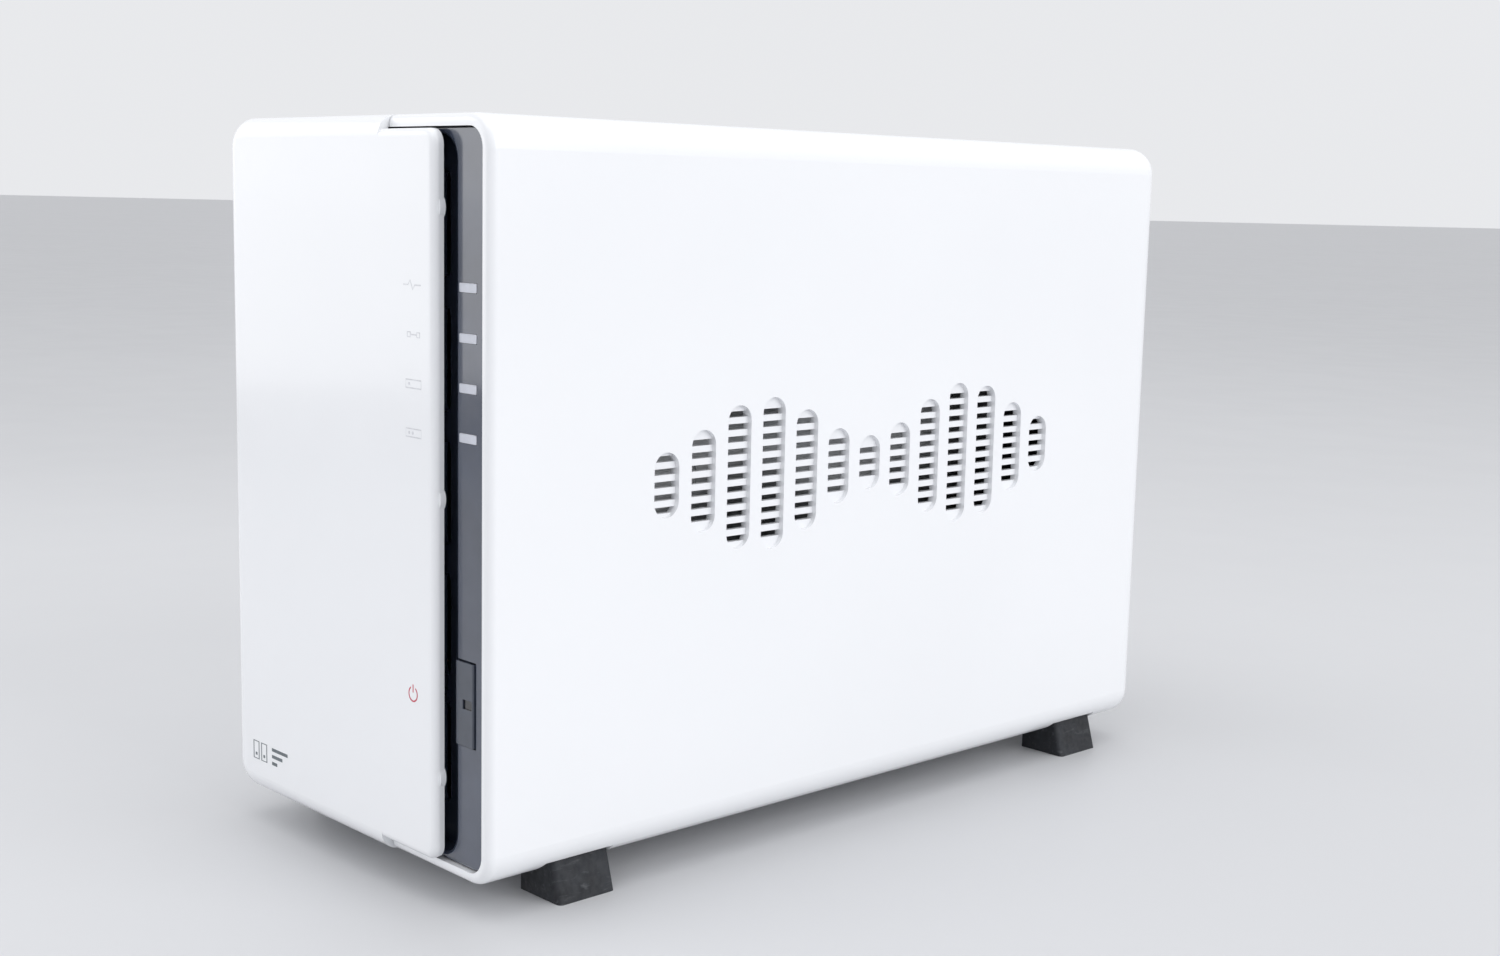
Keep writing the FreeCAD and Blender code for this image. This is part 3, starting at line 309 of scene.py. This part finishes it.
MATS = {
    "white_case": white_case(),
    "bezel_plastic": bezel_plastic(),
    "button_plastic": button_plastic(),
    "frosted_plastic": frosted_plastic(),
    "lens_plastic": plain_plastic("lens_plastic", (0.008, 0.009, 0.013), 0.12, 3000.0, 0.05, 0.6),
    "black_plastic": plain_plastic("black_plastic", (0.018, 0.018, 0.021), 0.52),
    "white_plastic": plain_plastic("white_plastic", (0.72, 0.70, 0.64), 0.45),
    "foot_rubber": foot_rubber(),
    "circuit_board": circuit_board("circuit_board", (0.012, 0.105, 0.055)),
    "sheet_steel": zinc_sheet(),
    "plate_steel": painted_plate(),
    "screw_steel": sheet_metal("screw_steel", (0.50, 0.50, 0.52), 0.3, (1.0, 1.0, 1.0)),
    "port_steel": sheet_metal("port_steel", (0.70, 0.70, 0.71), 0.22, (0.1, 2.0, 1.0)),
    "cast_aluminium": cast_metal(),
    "lid_steel": sheet_metal("lid_steel", (0.60, 0.61, 0.62), 0.3, (1.0, 0.06, 4.0), mottle=0.05),
    "sink_aluminium": sheet_metal("sink_aluminium", (0.52, 0.53, 0.56), 0.36, (4.0, 0.1, 1.0), mottle=0.06),
    "chip_resin": plain_plastic("chip_resin", (0.013, 0.013, 0.014), 0.5, 2600.0, 0.4),
    "can_aluminium": sheet_metal("can_aluminium", (0.62, 0.62, 0.65), 0.25, (1.0, 1.0, 0.1), mottle=0.05),
    "ferrite": plain_plastic("ferrite", (0.05, 0.05, 0.055), 0.6, 1800.0, 0.6),
    "cell_steel": sheet_metal("cell_steel", (0.68, 0.68, 0.67), 0.2, (1.0, 1.0, 1.0), mottle=0.04),
    "winding_copper": winding_copper(),
    "bearing_bronze": sheet_metal("bearing_bronze", (0.50, 0.34, 0.16), 0.4, (1.0, 0.2, 1.0)),
    "cable_sleeve": braided_sleeve(),
}
GOLD = sheet_metal("contact_gold", (0.83, 0.62, 0.24), 0.25, (1.0, 1.0, 1.0), mottle=0.05)
INK_RED = printed_ink("ink_red", (0.52, 0.035, 0.075))
INK_FAINT = printed_ink("ink_faint", (0.62, 0.63, 0.66))
INK_DARK = printed_ink("ink_dark", (0.12, 0.145, 0.16))
PAPER = label_paper("label_paper", (0.78, 0.78, 0.76), 1500.0)
FOIL = label_paper("label_foil", (0.55, 0.56, 0.58), 900.0)
BAND_BLUE = printed_ink("label_band", (0.03, 0.12, 0.22))
RESISTOR = plain_plastic("resistor_ceramic", (0.035, 0.033, 0.032), 0.4, 2400.0, 0.2)
CERAMIC = plain_plastic("capacitor_ceramic", (0.36, 0.25, 0.16), 0.42, 2400.0, 0.2)
LAMP_GREEN = plain_plastic("lamp_green", (0.10, 0.34, 0.12), 0.25, 3000.0, 0.1, 0.4)
LAMP_AMBER = plain_plastic("lamp_amber", (0.55, 0.27, 0.03), 0.25, 3000.0, 0.1, 0.4)

for row in frame["record"]["subparts"]:
    node = NODES[row["node"]]
    if not node.data.materials:
        node.data.materials.append(None)
    for holder in node.material_slots:
        holder.material = MATS[row["material_slot"]]


# ---- mesh helpers, in millimetres ---------------------------------------------------
SHARP_ANGLE = 35.0      # edges that turn by more than this are shaded sharp, in degrees


def finish_mesh(name, bm, body, material):
    """Makes an object of bm, which is in millimetres, and declares its body and slot."""
    bmesh.ops.scale(bm, vec=(MM, MM, MM), verts=bm.verts)
    bmesh.ops.recalc_face_normals(bm, faces=bm.faces)
    mesh = bpy.data.meshes.new(name)
    bm.to_mesh(mesh)
    bm.free()
    mesh.materials.append(material)
    for face in mesh.polygons:
        face.use_smooth = True
    mesh.set_sharp_from_angle(angle=math.radians(SHARP_ANGLE))
    obj = bpy.data.objects.new(name, mesh)
    bpy.context.scene.collection.objects.link(obj)
    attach(obj, body)


def add_box(bm, lo, hi, round_by):
    """A box with every edge rounded a little."""
    size = [h - l for l, h in zip(lo, hi)]
    mid = Vector([(l + h) / 2 for l, h in zip(lo, hi)])
    part = bmesh.new()
    bmesh.ops.create_cube(part, size=1.0, matrix=Matrix.Translation(mid) @ Matrix.Diagonal((*size, 1.0)))
    if round_by:
        bmesh.ops.bevel(part, geom=part.edges[:], offset=round_by, segments=2, profile=0.6, affect="EDGES")
    piece = bpy.data.meshes.new("part")
    part.to_mesh(piece)
    part.free()
    bm.from_mesh(piece)
    bpy.data.meshes.remove(piece)


def boxes(name, spans, body, material, round_by=0.08):
    """One object of many boxes, each given by its low and high corner."""
    bm = bmesh.new()
    for lo, hi in spans:
        add_box(bm, lo, hi, round_by)
    finish_mesh(name, bm, body, material)


def add_outline(bm, points, at, out, deep):
    """A flat closed outline of 3-D points, raised by deep along out."""
    low = [bm.verts.new(Vector(p) + Vector(at)) for p in points]
    high = [bm.verts.new(v.co + Vector(out) * deep) for v in low]
    bm.faces.new(low)
    bm.faces.new(high[::-1])
    for i in range(len(low)):
        j = (i + 1) % len(low)
        bm.faces.new((low[i], high[i], high[j], low[j]))


def add_ribbon(bm, path, width, at, out, deep, closed=False):
    """A printed stroke of even width along a path lying square to out."""
    points = [Vector(p) for p in path]
    count = len(points)
    place, lift = Vector(at), Vector(out) * deep
    rows = []
    for i, point in enumerate(points):
        before = points[i - 1] if (i or closed) else point
        after = points[(i + 1) % count] if (i < count - 1 or closed) else point
        along = (after - before).normalized()
        across = along.cross(Vector(out)).normalized() * width / 2
        sides = (point - across, point + across)
        rows.append([[bm.verts.new(side + place + up) for side in sides] for up in (Vector(), lift)])
    for i in range(count if closed else count - 1):
        (a, b), (e, f) = rows[i]
        (c, d), (g, h) = rows[(i + 1) % count]
        for face in ((a, b, d, c), (e, g, h, f), (a, c, g, e), (b, f, h, d)):
            bm.faces.new(face)
    if not closed:
        for (a, b), (e, f) in (rows[0], rows[-1]):
            bm.faces.new((a, e, f, b))


def arc(cx, cz, r, start, stop, steps):
    """Points along an arc in the XZ plane, from start to stop degrees."""
    turns = [math.radians(start + (stop - start) * k / steps) for k in range(steps + 1)]
    return [(cx + r * math.cos(turn), 0.0, cz + r * math.sin(turn)) for turn in turns]


def circle(cx, cz, r, steps=32):
    return arc(cx, cz, r, 0, 360, steps)[:-1]


# ---- marks printed on the front panel -------------------------------------------------
FACE_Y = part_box("base_shell")[0][1] / MM
FRONT = (0.0, -1.0, 0.0)
INK_SUNK = 0.005        # the ink starts this far inside the wall, so no face is shared with it
INK_DEEP = 0.02
INK_AT = (0.0, FACE_Y + INK_SUNK, 0.0)
LIGHTS = ("status", "lan", "disk_1", "disk_2")
LED_Z = [sum(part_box("light_pipe_" + name)[i][2] for i in (0, 1)) / 2 / MM for name in LIGHTS]
POWER_MARK_AT = (26.7, 45.2)
POWER_MARK_R = 1.55
POWER_STROKE = 0.34
STATUS_RIGHT = 30.0     # the right end of each status mark
STATUS_STROKE = 0.26
BAY_LEFT, BAY_LOW, BAY_HIGH = -41.0, 15.8, 20.0
BAY_PITCH, BAY_WIDE, BAY_STROKE = 3.6, 2.4, 0.42
BAR_PITCH = 1.65


def stroke(bm, path, width, closed=False):
    add_ribbon(bm, path, width, INK_AT, FRONT, INK_DEEP, closed)


def blob(bm, points):
    add_outline(bm, points, INK_AT, FRONT, INK_DEEP)


def frame_of(x0, x1, z0, z1):
    return [(x0, 0, z0), (x1, 0, z0), (x1, 0, z1), (x0, 0, z1)]


def power_mark():
    """Open ring with an upright stroke: the standard power symbol."""
    bm = bmesh.new()
    cx, cz = POWER_MARK_AT
    stroke(bm, arc(cx, cz, POWER_MARK_R, 122, 418, 44), POWER_STROKE)
    stroke(bm, [(cx, 0, cz + 0.35), (cx, 0, cz + 2.05)], POWER_STROKE)
    finish_mesh("mark_power", bm, "base", INK_RED)


def status_marks():
    """Pulse line, linked nodes, and one and two disks, beside the four lights."""
    bm = bmesh.new()
    right = STATUS_RIGHT
    z = LED_Z[0]
    pulse = ((6.4, 0.0), (4.6, 0.0), (3.9, 1.0), (2.9, -1.0), (2.2, 0.0), (0.0, 0.0))
    stroke(bm, [(right - back, 0, z + rise) for back, rise in pulse], STATUS_STROKE)
    z = LED_Z[1]
    for x in (right - 4.4, right - 1.0):
        stroke(bm, frame_of(x - 0.55, x + 0.55, z - 0.5, z + 0.5), STATUS_STROKE, True)
    stroke(bm, [(right - 3.7, 0, z), (right - 1.7, 0, z)], STATUS_STROKE)
    for count, z in ((1, LED_Z[2]), (2, LED_Z[3])):
        stroke(bm, frame_of(right - 5.6, right, z - 0.85, z + 0.85), STATUS_STROKE, True)
        for k in range(count):
            blob(bm, circle(right - 4.4 + 1.3 * k, z, 0.36, 16))
    finish_mesh("marks_status", bm, "base", INK_FAINT)


def bay_mark():
    """Two upright bays side by side and three bars, low on the left."""
    bm = bmesh.new()
    for k in range(2):
        x = BAY_LEFT + BAY_PITCH * k
        stroke(bm, frame_of(x, x + BAY_WIDE, BAY_LOW, BAY_HIGH), BAY_STROKE, True)
        blob(bm, frame_of(x + 0.8, x + 1.6, BAY_LOW + 0.8, BAY_LOW + 1.5))
    for k in range(3):
        blob(bm, frame_of(BAY_LEFT + 8.4, BAY_LEFT + 15.6 - 2.4 * k,
                          BAY_HIGH - 0.9 - BAR_PITCH * k, BAY_HIGH - 0.1 - BAR_PITCH * k))
    finish_mesh("mark_bays", bm, "base", INK_DARK)


# ---- details inside the case and at the back ----------------------------------------
def span(node):
    """The node's low and high corner, in millimetres."""
    lo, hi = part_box(node)
    return [v / MM for v in lo], [v / MM for v in hi]


BOARD_TOP = span("mainboard")[1][2]
BOARD_X, BOARD_Y = (-30, 43), (-86, 88)
# Where CAD parts that are one node of many solids stand on the board: centres, or low corners.
BOARD_SCREWS = ((-27.0, -70.0), (40.0, -70.0), (-27.0, 89.3), (-27.0, 10.0))
FAN_HEADER, FRONT_HEADER = (-27.0, 82.0), (37.0, -78.0)
CAPACITORS = ((34, 72), (24, 72), (34, 60), (-24, 40), (-24, 50), (-24, 60))
MEMORY_CORNERS = [(x, y) for x in (24, 34) for y in (-2, 14)]
INDUCTOR_CORNERS = ((6, 62), (-6, 62), (18, 46))
SCATTERED = ("base_shell", "side_cover", "back_plate", "mainboard_screws", "capacitors", "memory_chips",
             "power_inductors", "board_headers", "chassis_frame")


def board_details():
    """Small parts and solder pads scattered over the free areas of the mainboard."""
    standing = [n for n in NODES if span(n)[1][2] > BOARD_TOP + 0.2 and span(n)[0][2] < BOARD_TOP + 3.0]
    taken = [span(n) for n in standing if n not in SCATTERED]
    kept_clear = [(at, 4) for at in BOARD_SCREWS]
    kept_clear += [(FAN_HEADER, 6), (FRONT_HEADER, 6)]
    kept_clear += [(at, 5) for at in CAPACITORS]
    kept_clear += [((x + 4, y + 6), 9) for x, y in MEMORY_CORNERS]
    kept_clear += [((x + 3.5, y + 3.5), 6.5) for x, y in INDUCTOR_CORNERS]
    tries, apart, edge = 240, 2.4, 2
    narrower, part_high, pad_high, pad_half = 0.7, 0.6, 0.52, 0.3
    dark, tan, pads = [], [], []
    z = BOARD_TOP
    for _ in range(tries):
        x, y = rng.uniform(*BOARD_X), rng.uniform(*BOARD_Y)
        turned, kind = rng.random() < 0.5, rng.random()
        clear = all(x < lo[0] - edge or x > hi[0] + edge or y < lo[1] - edge or y > hi[1] + edge
                    for lo, hi in taken)
        clear = clear and all(math.dist((x, y), at) > far for at, far in kept_clear)
        if not clear:
            continue
        kept_clear.append(((x, y), apart))
        long, wide = (1.6, 0.85) if kind < 0.7 else (2.9, 1.6)
        group = dark if kind < 0.4 or kind > 0.9 else tan
        if turned:
            dx, dy = long / 2, wide / 2
            group.append(((x - dx * narrower, y - dy, z), (x + dx * narrower, y + dy, z + part_high)))
            pads += [((x + s * dx - pad_half, y - dy, z), (x + s * dx + pad_half, y + dy, z + pad_high))
                     for s in (-1, 1)]
        else:
            dx, dy = wide / 2, long / 2
            group.append(((x - dx, y - dy * narrower, z), (x + dx, y + dy * narrower, z + part_high)))
            pads += [((x - dx, y + s * dy - pad_half, z), (x + dx, y + s * dy + pad_half, z + pad_high))
                     for s in (-1, 1)]
    boxes("board_resistors", dark, "base", RESISTOR, 0.06)
    boxes("board_ceramics", tan, "base", CERAMIC, 0.06)
    boxes("board_solder", pads, "base", MATS["port_steel"], 0.08)


def chip_legs():
    """Gull-wing legs down both long sides of each memory chip."""
    per_side, pitch, first = 9, 1.25, 1.2
    wide, high = 0.43, 0.45
    legs = []
    for x0, y0 in MEMORY_CORNERS:
        for k in range(per_side):
            y = y0 + first + k * pitch
            for x in (x0 - 0.45, x0 + 8.02):
                legs.append(((x, y - 0.2, BOARD_TOP), (x + wide, y + 0.2, BOARD_TOP + high)))
    boxes("memory_legs", legs, "base", MATS["port_steel"], 0.06)


def port_contacts():
    """Spring wires, liner and lamps in the network socket, and blades on the two USB tongues."""
    lan_lo, lan_hi = span("lan_port")
    mid = (lan_lo[0] + lan_hi[0]) / 2
    wire_y = (lan_lo[1] + 8.6, lan_hi[1] - 3.0)
    wire_z = (BOARD_TOP + 10.2, BOARD_TOP + 10.55)
    wires = [((mid - 3.7 + k * 1.02, wire_y[0], wire_z[0]), (mid - 3.4 + k * 1.02, wire_y[1], wire_z[1]))
             for k in range(8)]
    blade_z = (BOARD_TOP + 3.74, BOARD_TOP + 3.9)
    for port in ("usb_port_1", "usb_port_2"):
        lo, hi = span(port)
        cx = (lo[0] + hi[0]) / 2
        for dx in (-3.5, -1.1, 1.1, 3.5):
            wires.append(((cx + dx - 0.5, hi[1] - 9.5, blade_z[0]), (cx + dx + 0.5, hi[1] - 2.0, blade_z[1])))
    boxes("port_contacts", wires, "base", GOLD, 0.04)

    wall, lip = 0.3, 2.5
    x0, x1, y0, y1 = mid - 5.86, mid + 5.86, lan_lo[1] + 8.03, lan_hi[1] - 0.4
    z0, z1 = BOARD_TOP + 3.64, BOARD_TOP + 11.56
    liner = [((x0, y0, z0), (x1, y0 + wall, z1)), ((x0, y0, z1 - wall), (x1, y1, z1)),
             ((x0, y0, z0), (x0 + wall, y1, z1)), ((x1 - wall, y0, z0), (x1, y1, z1)),
             ((x0, y0, z0), (x0 + lip, y1, z0 + wall)), ((x1 - lip, y0, z0), (x1, y1, z0 + wall))]
    boxes("lan_liner", liner, "base", MATS["black_plastic"], 0.05)

    for name, dx, material in (("lamp_link", -6.3, LAMP_GREEN), ("lamp_speed", 6.3, LAMP_AMBER)):
        x = mid + dx
        lamp = ((x - 1.1, lan_hi[1] - 0.25, BOARD_TOP + 11.9), (x + 1.1, lan_hi[1] + 0.1, BOARD_TOP + 13.1))
        boxes(name, [lamp], "base", material, 0.12)


def small_board_parts():
    """Chips and small parts on the drive backplane, and a column of small parts on the front board."""
    lo, hi = span("sata_backplane")
    y = hi[1]
    chips = [((lo[0] + 26, y, 112.0), (lo[0] + 34, y + 1.0, 120.0)),
             ((lo[0] + 4, y, 44.0), (lo[0] + 9, y + 1.0, 50.0))]
    boxes("backplane_chips", chips, "base", MATS["chip_resin"], 0.12)
    bits = []
    for _ in range(26):
        x, z = lo[0] + 3 + rng.random() * 56, 36 + rng.random() * 22
        bits.append(((x, y, z), (x + 1.6, y + 0.55, z + 0.8)))
    front_lo, front_hi = span("front_board")
    x, y = front_lo[0], front_hi[1]
    for k in range(18):
        z = front_lo[2] + 30 + 3.6 * k
        bits.append(((x + 1.0, y, z), (x + 1.8, y + 0.5, z + 1.6)))
    boxes("backplane_bits", bits, "base", CERAMIC, 0.06)


def header_pins():
    """Pins of the fan header and the front board header, each behind its plug."""
    pins = []
    for (cx, cy), count, near, far in ((FAN_HEADER, 3, 1.6, 2.0), (FRONT_HEADER, 4, 1.55, 1.95)):
        for k in range(count):
            x = cx + (k - (count - 1) / 2) * 1.9
            pins.append(((x - 0.2, cy + near, BOARD_TOP + 1.5), (x + 0.2, cy + far, BOARD_TOP + 6.0)))
    boxes("header_pins", pins, "base", GOLD, 0.05)


def fan_sticker():
    """Foil disc with one printed ring on the back of the fan's motor."""
    lo, hi = span("fan_frame")
    cx, cz, y = 0.0, (lo[2] + hi[2]) / 2, hi[1] - 0.4
    bm = bmesh.new()
    add_outline(bm, circle(cx, cz, 16.5, 72), (0, y, 0), (0, 1, 0), 0.08)
    finish_mesh("fan_sticker", bm, "base", FOIL)
    bm = bmesh.new()
    add_ribbon(bm, circle(cx, cz, 14.6, 72), 0.5, (0, y + 0.07, 0), (0, 1, 0), 0.03, True)
    finish_mesh("fan_sticker_ring", bm, "base", INK_DARK)


def rounded_rect_yz(y0, y1, z0, z1, r, steps=6):
    """Outline in the YZ plane with quarter-round corners."""
    corners = ((y1 - r, z1 - r, 0), (y0 + r, z1 - r, 90), (y0 + r, z0 + r, 180), (y1 - r, z0 + r, 270))
    points = []
    for cy, cz, start in corners:
        for k in range(steps + 1):
            turn = math.radians(start + 90 * k / steps)
            points.append((0.0, cy + r * math.cos(turn), cz + r * math.sin(turn)))
    return points


def drive_details(index):
    """Paper label with a plain band and bars, chips on the drive's board, and connector contacts."""
    body = f"drive_{index}"
    y0, z0 = span(f"{body}_base")[0][1:]
    label_x = span(f"{body}_lid")[1][0] - 0.02
    paper_at, ink_at, outward = (label_x - 0.01, 0, 0), (label_x + 0.05, 0, 0), (1, 0, 0)
    paper_deep, ink_deep = 0.07, 0.02

    bm = bmesh.new()
    add_outline(bm, rounded_rect_yz(y0 + 70, y0 + 132, z0 + 63, z0 + 88, 3), paper_at, outward, paper_deep)
    finish_mesh(f"{body}_label", bm, body, PAPER)

    bm = bmesh.new()
    add_outline(bm, rounded_rect_yz(y0 + 72, y0 + 130, z0 + 80, z0 + 86, 1.2), ink_at, outward, ink_deep)
    for k, length in enumerate((112, 104, 118, 96)):
        z = z0 + 76.2 - 3.2 * k
        add_outline(bm, rounded_rect_yz(y0 + 73, y0 + length, z, z + 0.9, 0.4), ink_at, outward, ink_deep)
    finish_mesh(f"{body}_label_band", bm, body, BAND_BLUE)

    board_x = span(f"{body}_board")[0][0]
    # Each chip's place along the board, its place up it, its length and its height.
    layout = ((24, 22, 14, 14), (24, 58, 12, 8), (48, 16, 7, 7), (58, 70, 9, 6), (44, 76, 6, 10))
    chips = [((board_x - 0.42, y0 + along, z0 + up), (board_x + 0.02, y0 + along + long, z0 + up + high))
             for along, up, long, high in layout]
    boxes(f"{body}_chips", chips, body, MATS["chip_resin"], 0.12)

    con_lo, con_hi = span(f"{body}_connector")
    mid_z, left = (con_lo[2] + con_hi[2]) / 2, con_lo[0] + 4.05
    pitch, gap = 1.27, (14, 15)     # the gap parts the data contacts from the power contacts
    pads = [((left, con_lo[1] + 1.4, mid_z - 14.4 + k * pitch),
             (left + 0.06, con_lo[1] + 5.2, mid_z - 13.7 + k * pitch)) for k in range(23) if k not in gap]
    boxes(f"{body}_contacts", pads, body, GOLD, 0.0)


def sink_clip():
    """Bent wire that holds the heat sink down, through its middle channel."""
    lo, hi = span("heat_sink")
    fin_pitch = 3.6
    cx = lo[0] + fin_pitch * 5 - 1.2
    curve = bpy.data.curves.new("sink_clip", "CURVE")
    curve.dimensions = "3D"
    curve.bevel_depth = 0.55 * MM
    curve.bevel_resolution = 3
    line = curve.splines.new("POLY")
    foot_z, z = BOARD_TOP + 0.6, lo[2] + 2.9
    front, back = lo[1], hi[1]
    route = [(cx, front - 4.0, foot_z), (cx, front - 4.0, z - 1.2), (cx, front - 2.8, z), (cx, front + 4, z),
             (cx, (front + back) / 2, z + 0.1),
             (cx, back - 4, z), (cx, back + 2.8, z), (cx, back + 4.0, z - 1.2), (cx, back + 4.0, foot_z)]
    line.points.add(len(route) - 1)
    for point, at in zip(line.points, route):
        point.co = (*[v * MM for v in at], 1.0)
    obj = bpy.data.objects.new("sink_clip", curve)
    bpy.context.scene.collection.objects.link(obj)
    curve.materials.append(MATS["screw_steel"])
    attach(obj, "base")


power_mark()
status_marks()
bay_mark()
board_details()
chip_legs()
port_contacts()
header_pins()
small_board_parts()
fan_sticker()
for number in (1, 2):
    drive_details(number)
sink_clip()


# ---- floor, light and camera, in metres ---------------------------------------------
FLOOR_HALF = 30.0
WORLD_TINT, WORLD_STRENGTH = (0.965, 0.975, 1.0), 0.84
# The camera that best fits the photographed edges with the size held and no lens shift.
CAMERA_AT = (0.35612, -0.32913, 0.14968)
CAMERA_TURN, CAMERA_TILT, CAMERA_ROLL = 46.54, 8.38, 1.29     # degrees
CAMERA_LENS, CAMERA_SENSOR = 45.72, 36.0                      # millimetres


def floor():
    n = Nodes("floor_paper", (0.60, 0.605, 0.62), 0.5)
    n.vary_color(3.0, 0.99, 1.01)
    n.vary_rough(20.0, 0.04)
    bm = bmesh.new()
    bmesh.ops.create_grid(bm, x_segments=2, y_segments=2, size=FLOOR_HALF)
    mesh = bpy.data.meshes.new("floor")
    bm.to_mesh(mesh)
    bm.free()
    mesh.materials.append(n.mat)
    obj = bpy.data.objects.new("floor", mesh)
    bpy.context.scene.collection.objects.link(obj)


def area(name, at, target, size, watts, spread=180.0):
    """A rectangular lamp that faces target and isn't seen by the camera."""
    data = bpy.data.lights.new(name, "AREA")
    data.shape = "RECTANGLE"
    data.size, data.size_y = size
    data.energy = watts
    data.spread = math.radians(spread)
    obj = bpy.data.objects.new(name, data)
    obj.location = at
    obj.rotation_euler = (Vector(target) - Vector(at)).to_track_quat("-Z", "Y").to_euler()
    obj.visible_camera = False
    bpy.context.scene.collection.objects.link(obj)


def world():
    made = bpy.data.worlds.new("studio")
    made.use_nodes = True
    shade = made.node_tree.nodes["Background"]
    shade.inputs["Color"].default_value = (*WORLD_TINT, 1.0)
    shade.inputs["Strength"].default_value = WORLD_STRENGTH
    bpy.context.scene.world = made


def camera():
    turn, tilt, roll = (math.radians(v) for v in (CAMERA_TURN, CAMERA_TILT, CAMERA_ROLL))
    back = Vector((math.sin(turn) * math.cos(tilt), -math.cos(turn) * math.cos(tilt), math.sin(tilt)))
    right = Vector((0, 0, 1)).cross(back).normalized()
    up = back.cross(right)
    x_axis = math.cos(roll) * right + math.sin(roll) * up
    y_axis = math.cos(roll) * up - math.sin(roll) * right
    data = bpy.data.cameras.new("camera")
    data.sensor_width = CAMERA_SENSOR
    data.lens = CAMERA_LENS
    data.clip_start = 0.01
    data.clip_end = 20.0
    obj = bpy.data.objects.new("camera", data)
    turned = Matrix((x_axis, y_axis, back)).transposed().to_4x4()
    obj.matrix_world = Matrix.Translation(CAMERA_AT) @ turned
    bpy.context.scene.collection.objects.link(obj)
    bpy.context.scene.camera = obj


floor()
area("key_top", (0.1, -0.1, 1.3), (0.0, 0.0, 0.08), (1.4, 1.4), 5.0)
area("front_card", (-0.48, -0.47, 0.28), (0.03, -0.11, 0.10), (0.9, 0.5), 0.58, 95.0)
area("right_side", (1.5, 0.35, 0.8), (0.0, 0.0, 0.09), (1.2, 1.2), 10.0)
world()
camera()
bpy.context.scene.view_settings.view_transform = "Standard"
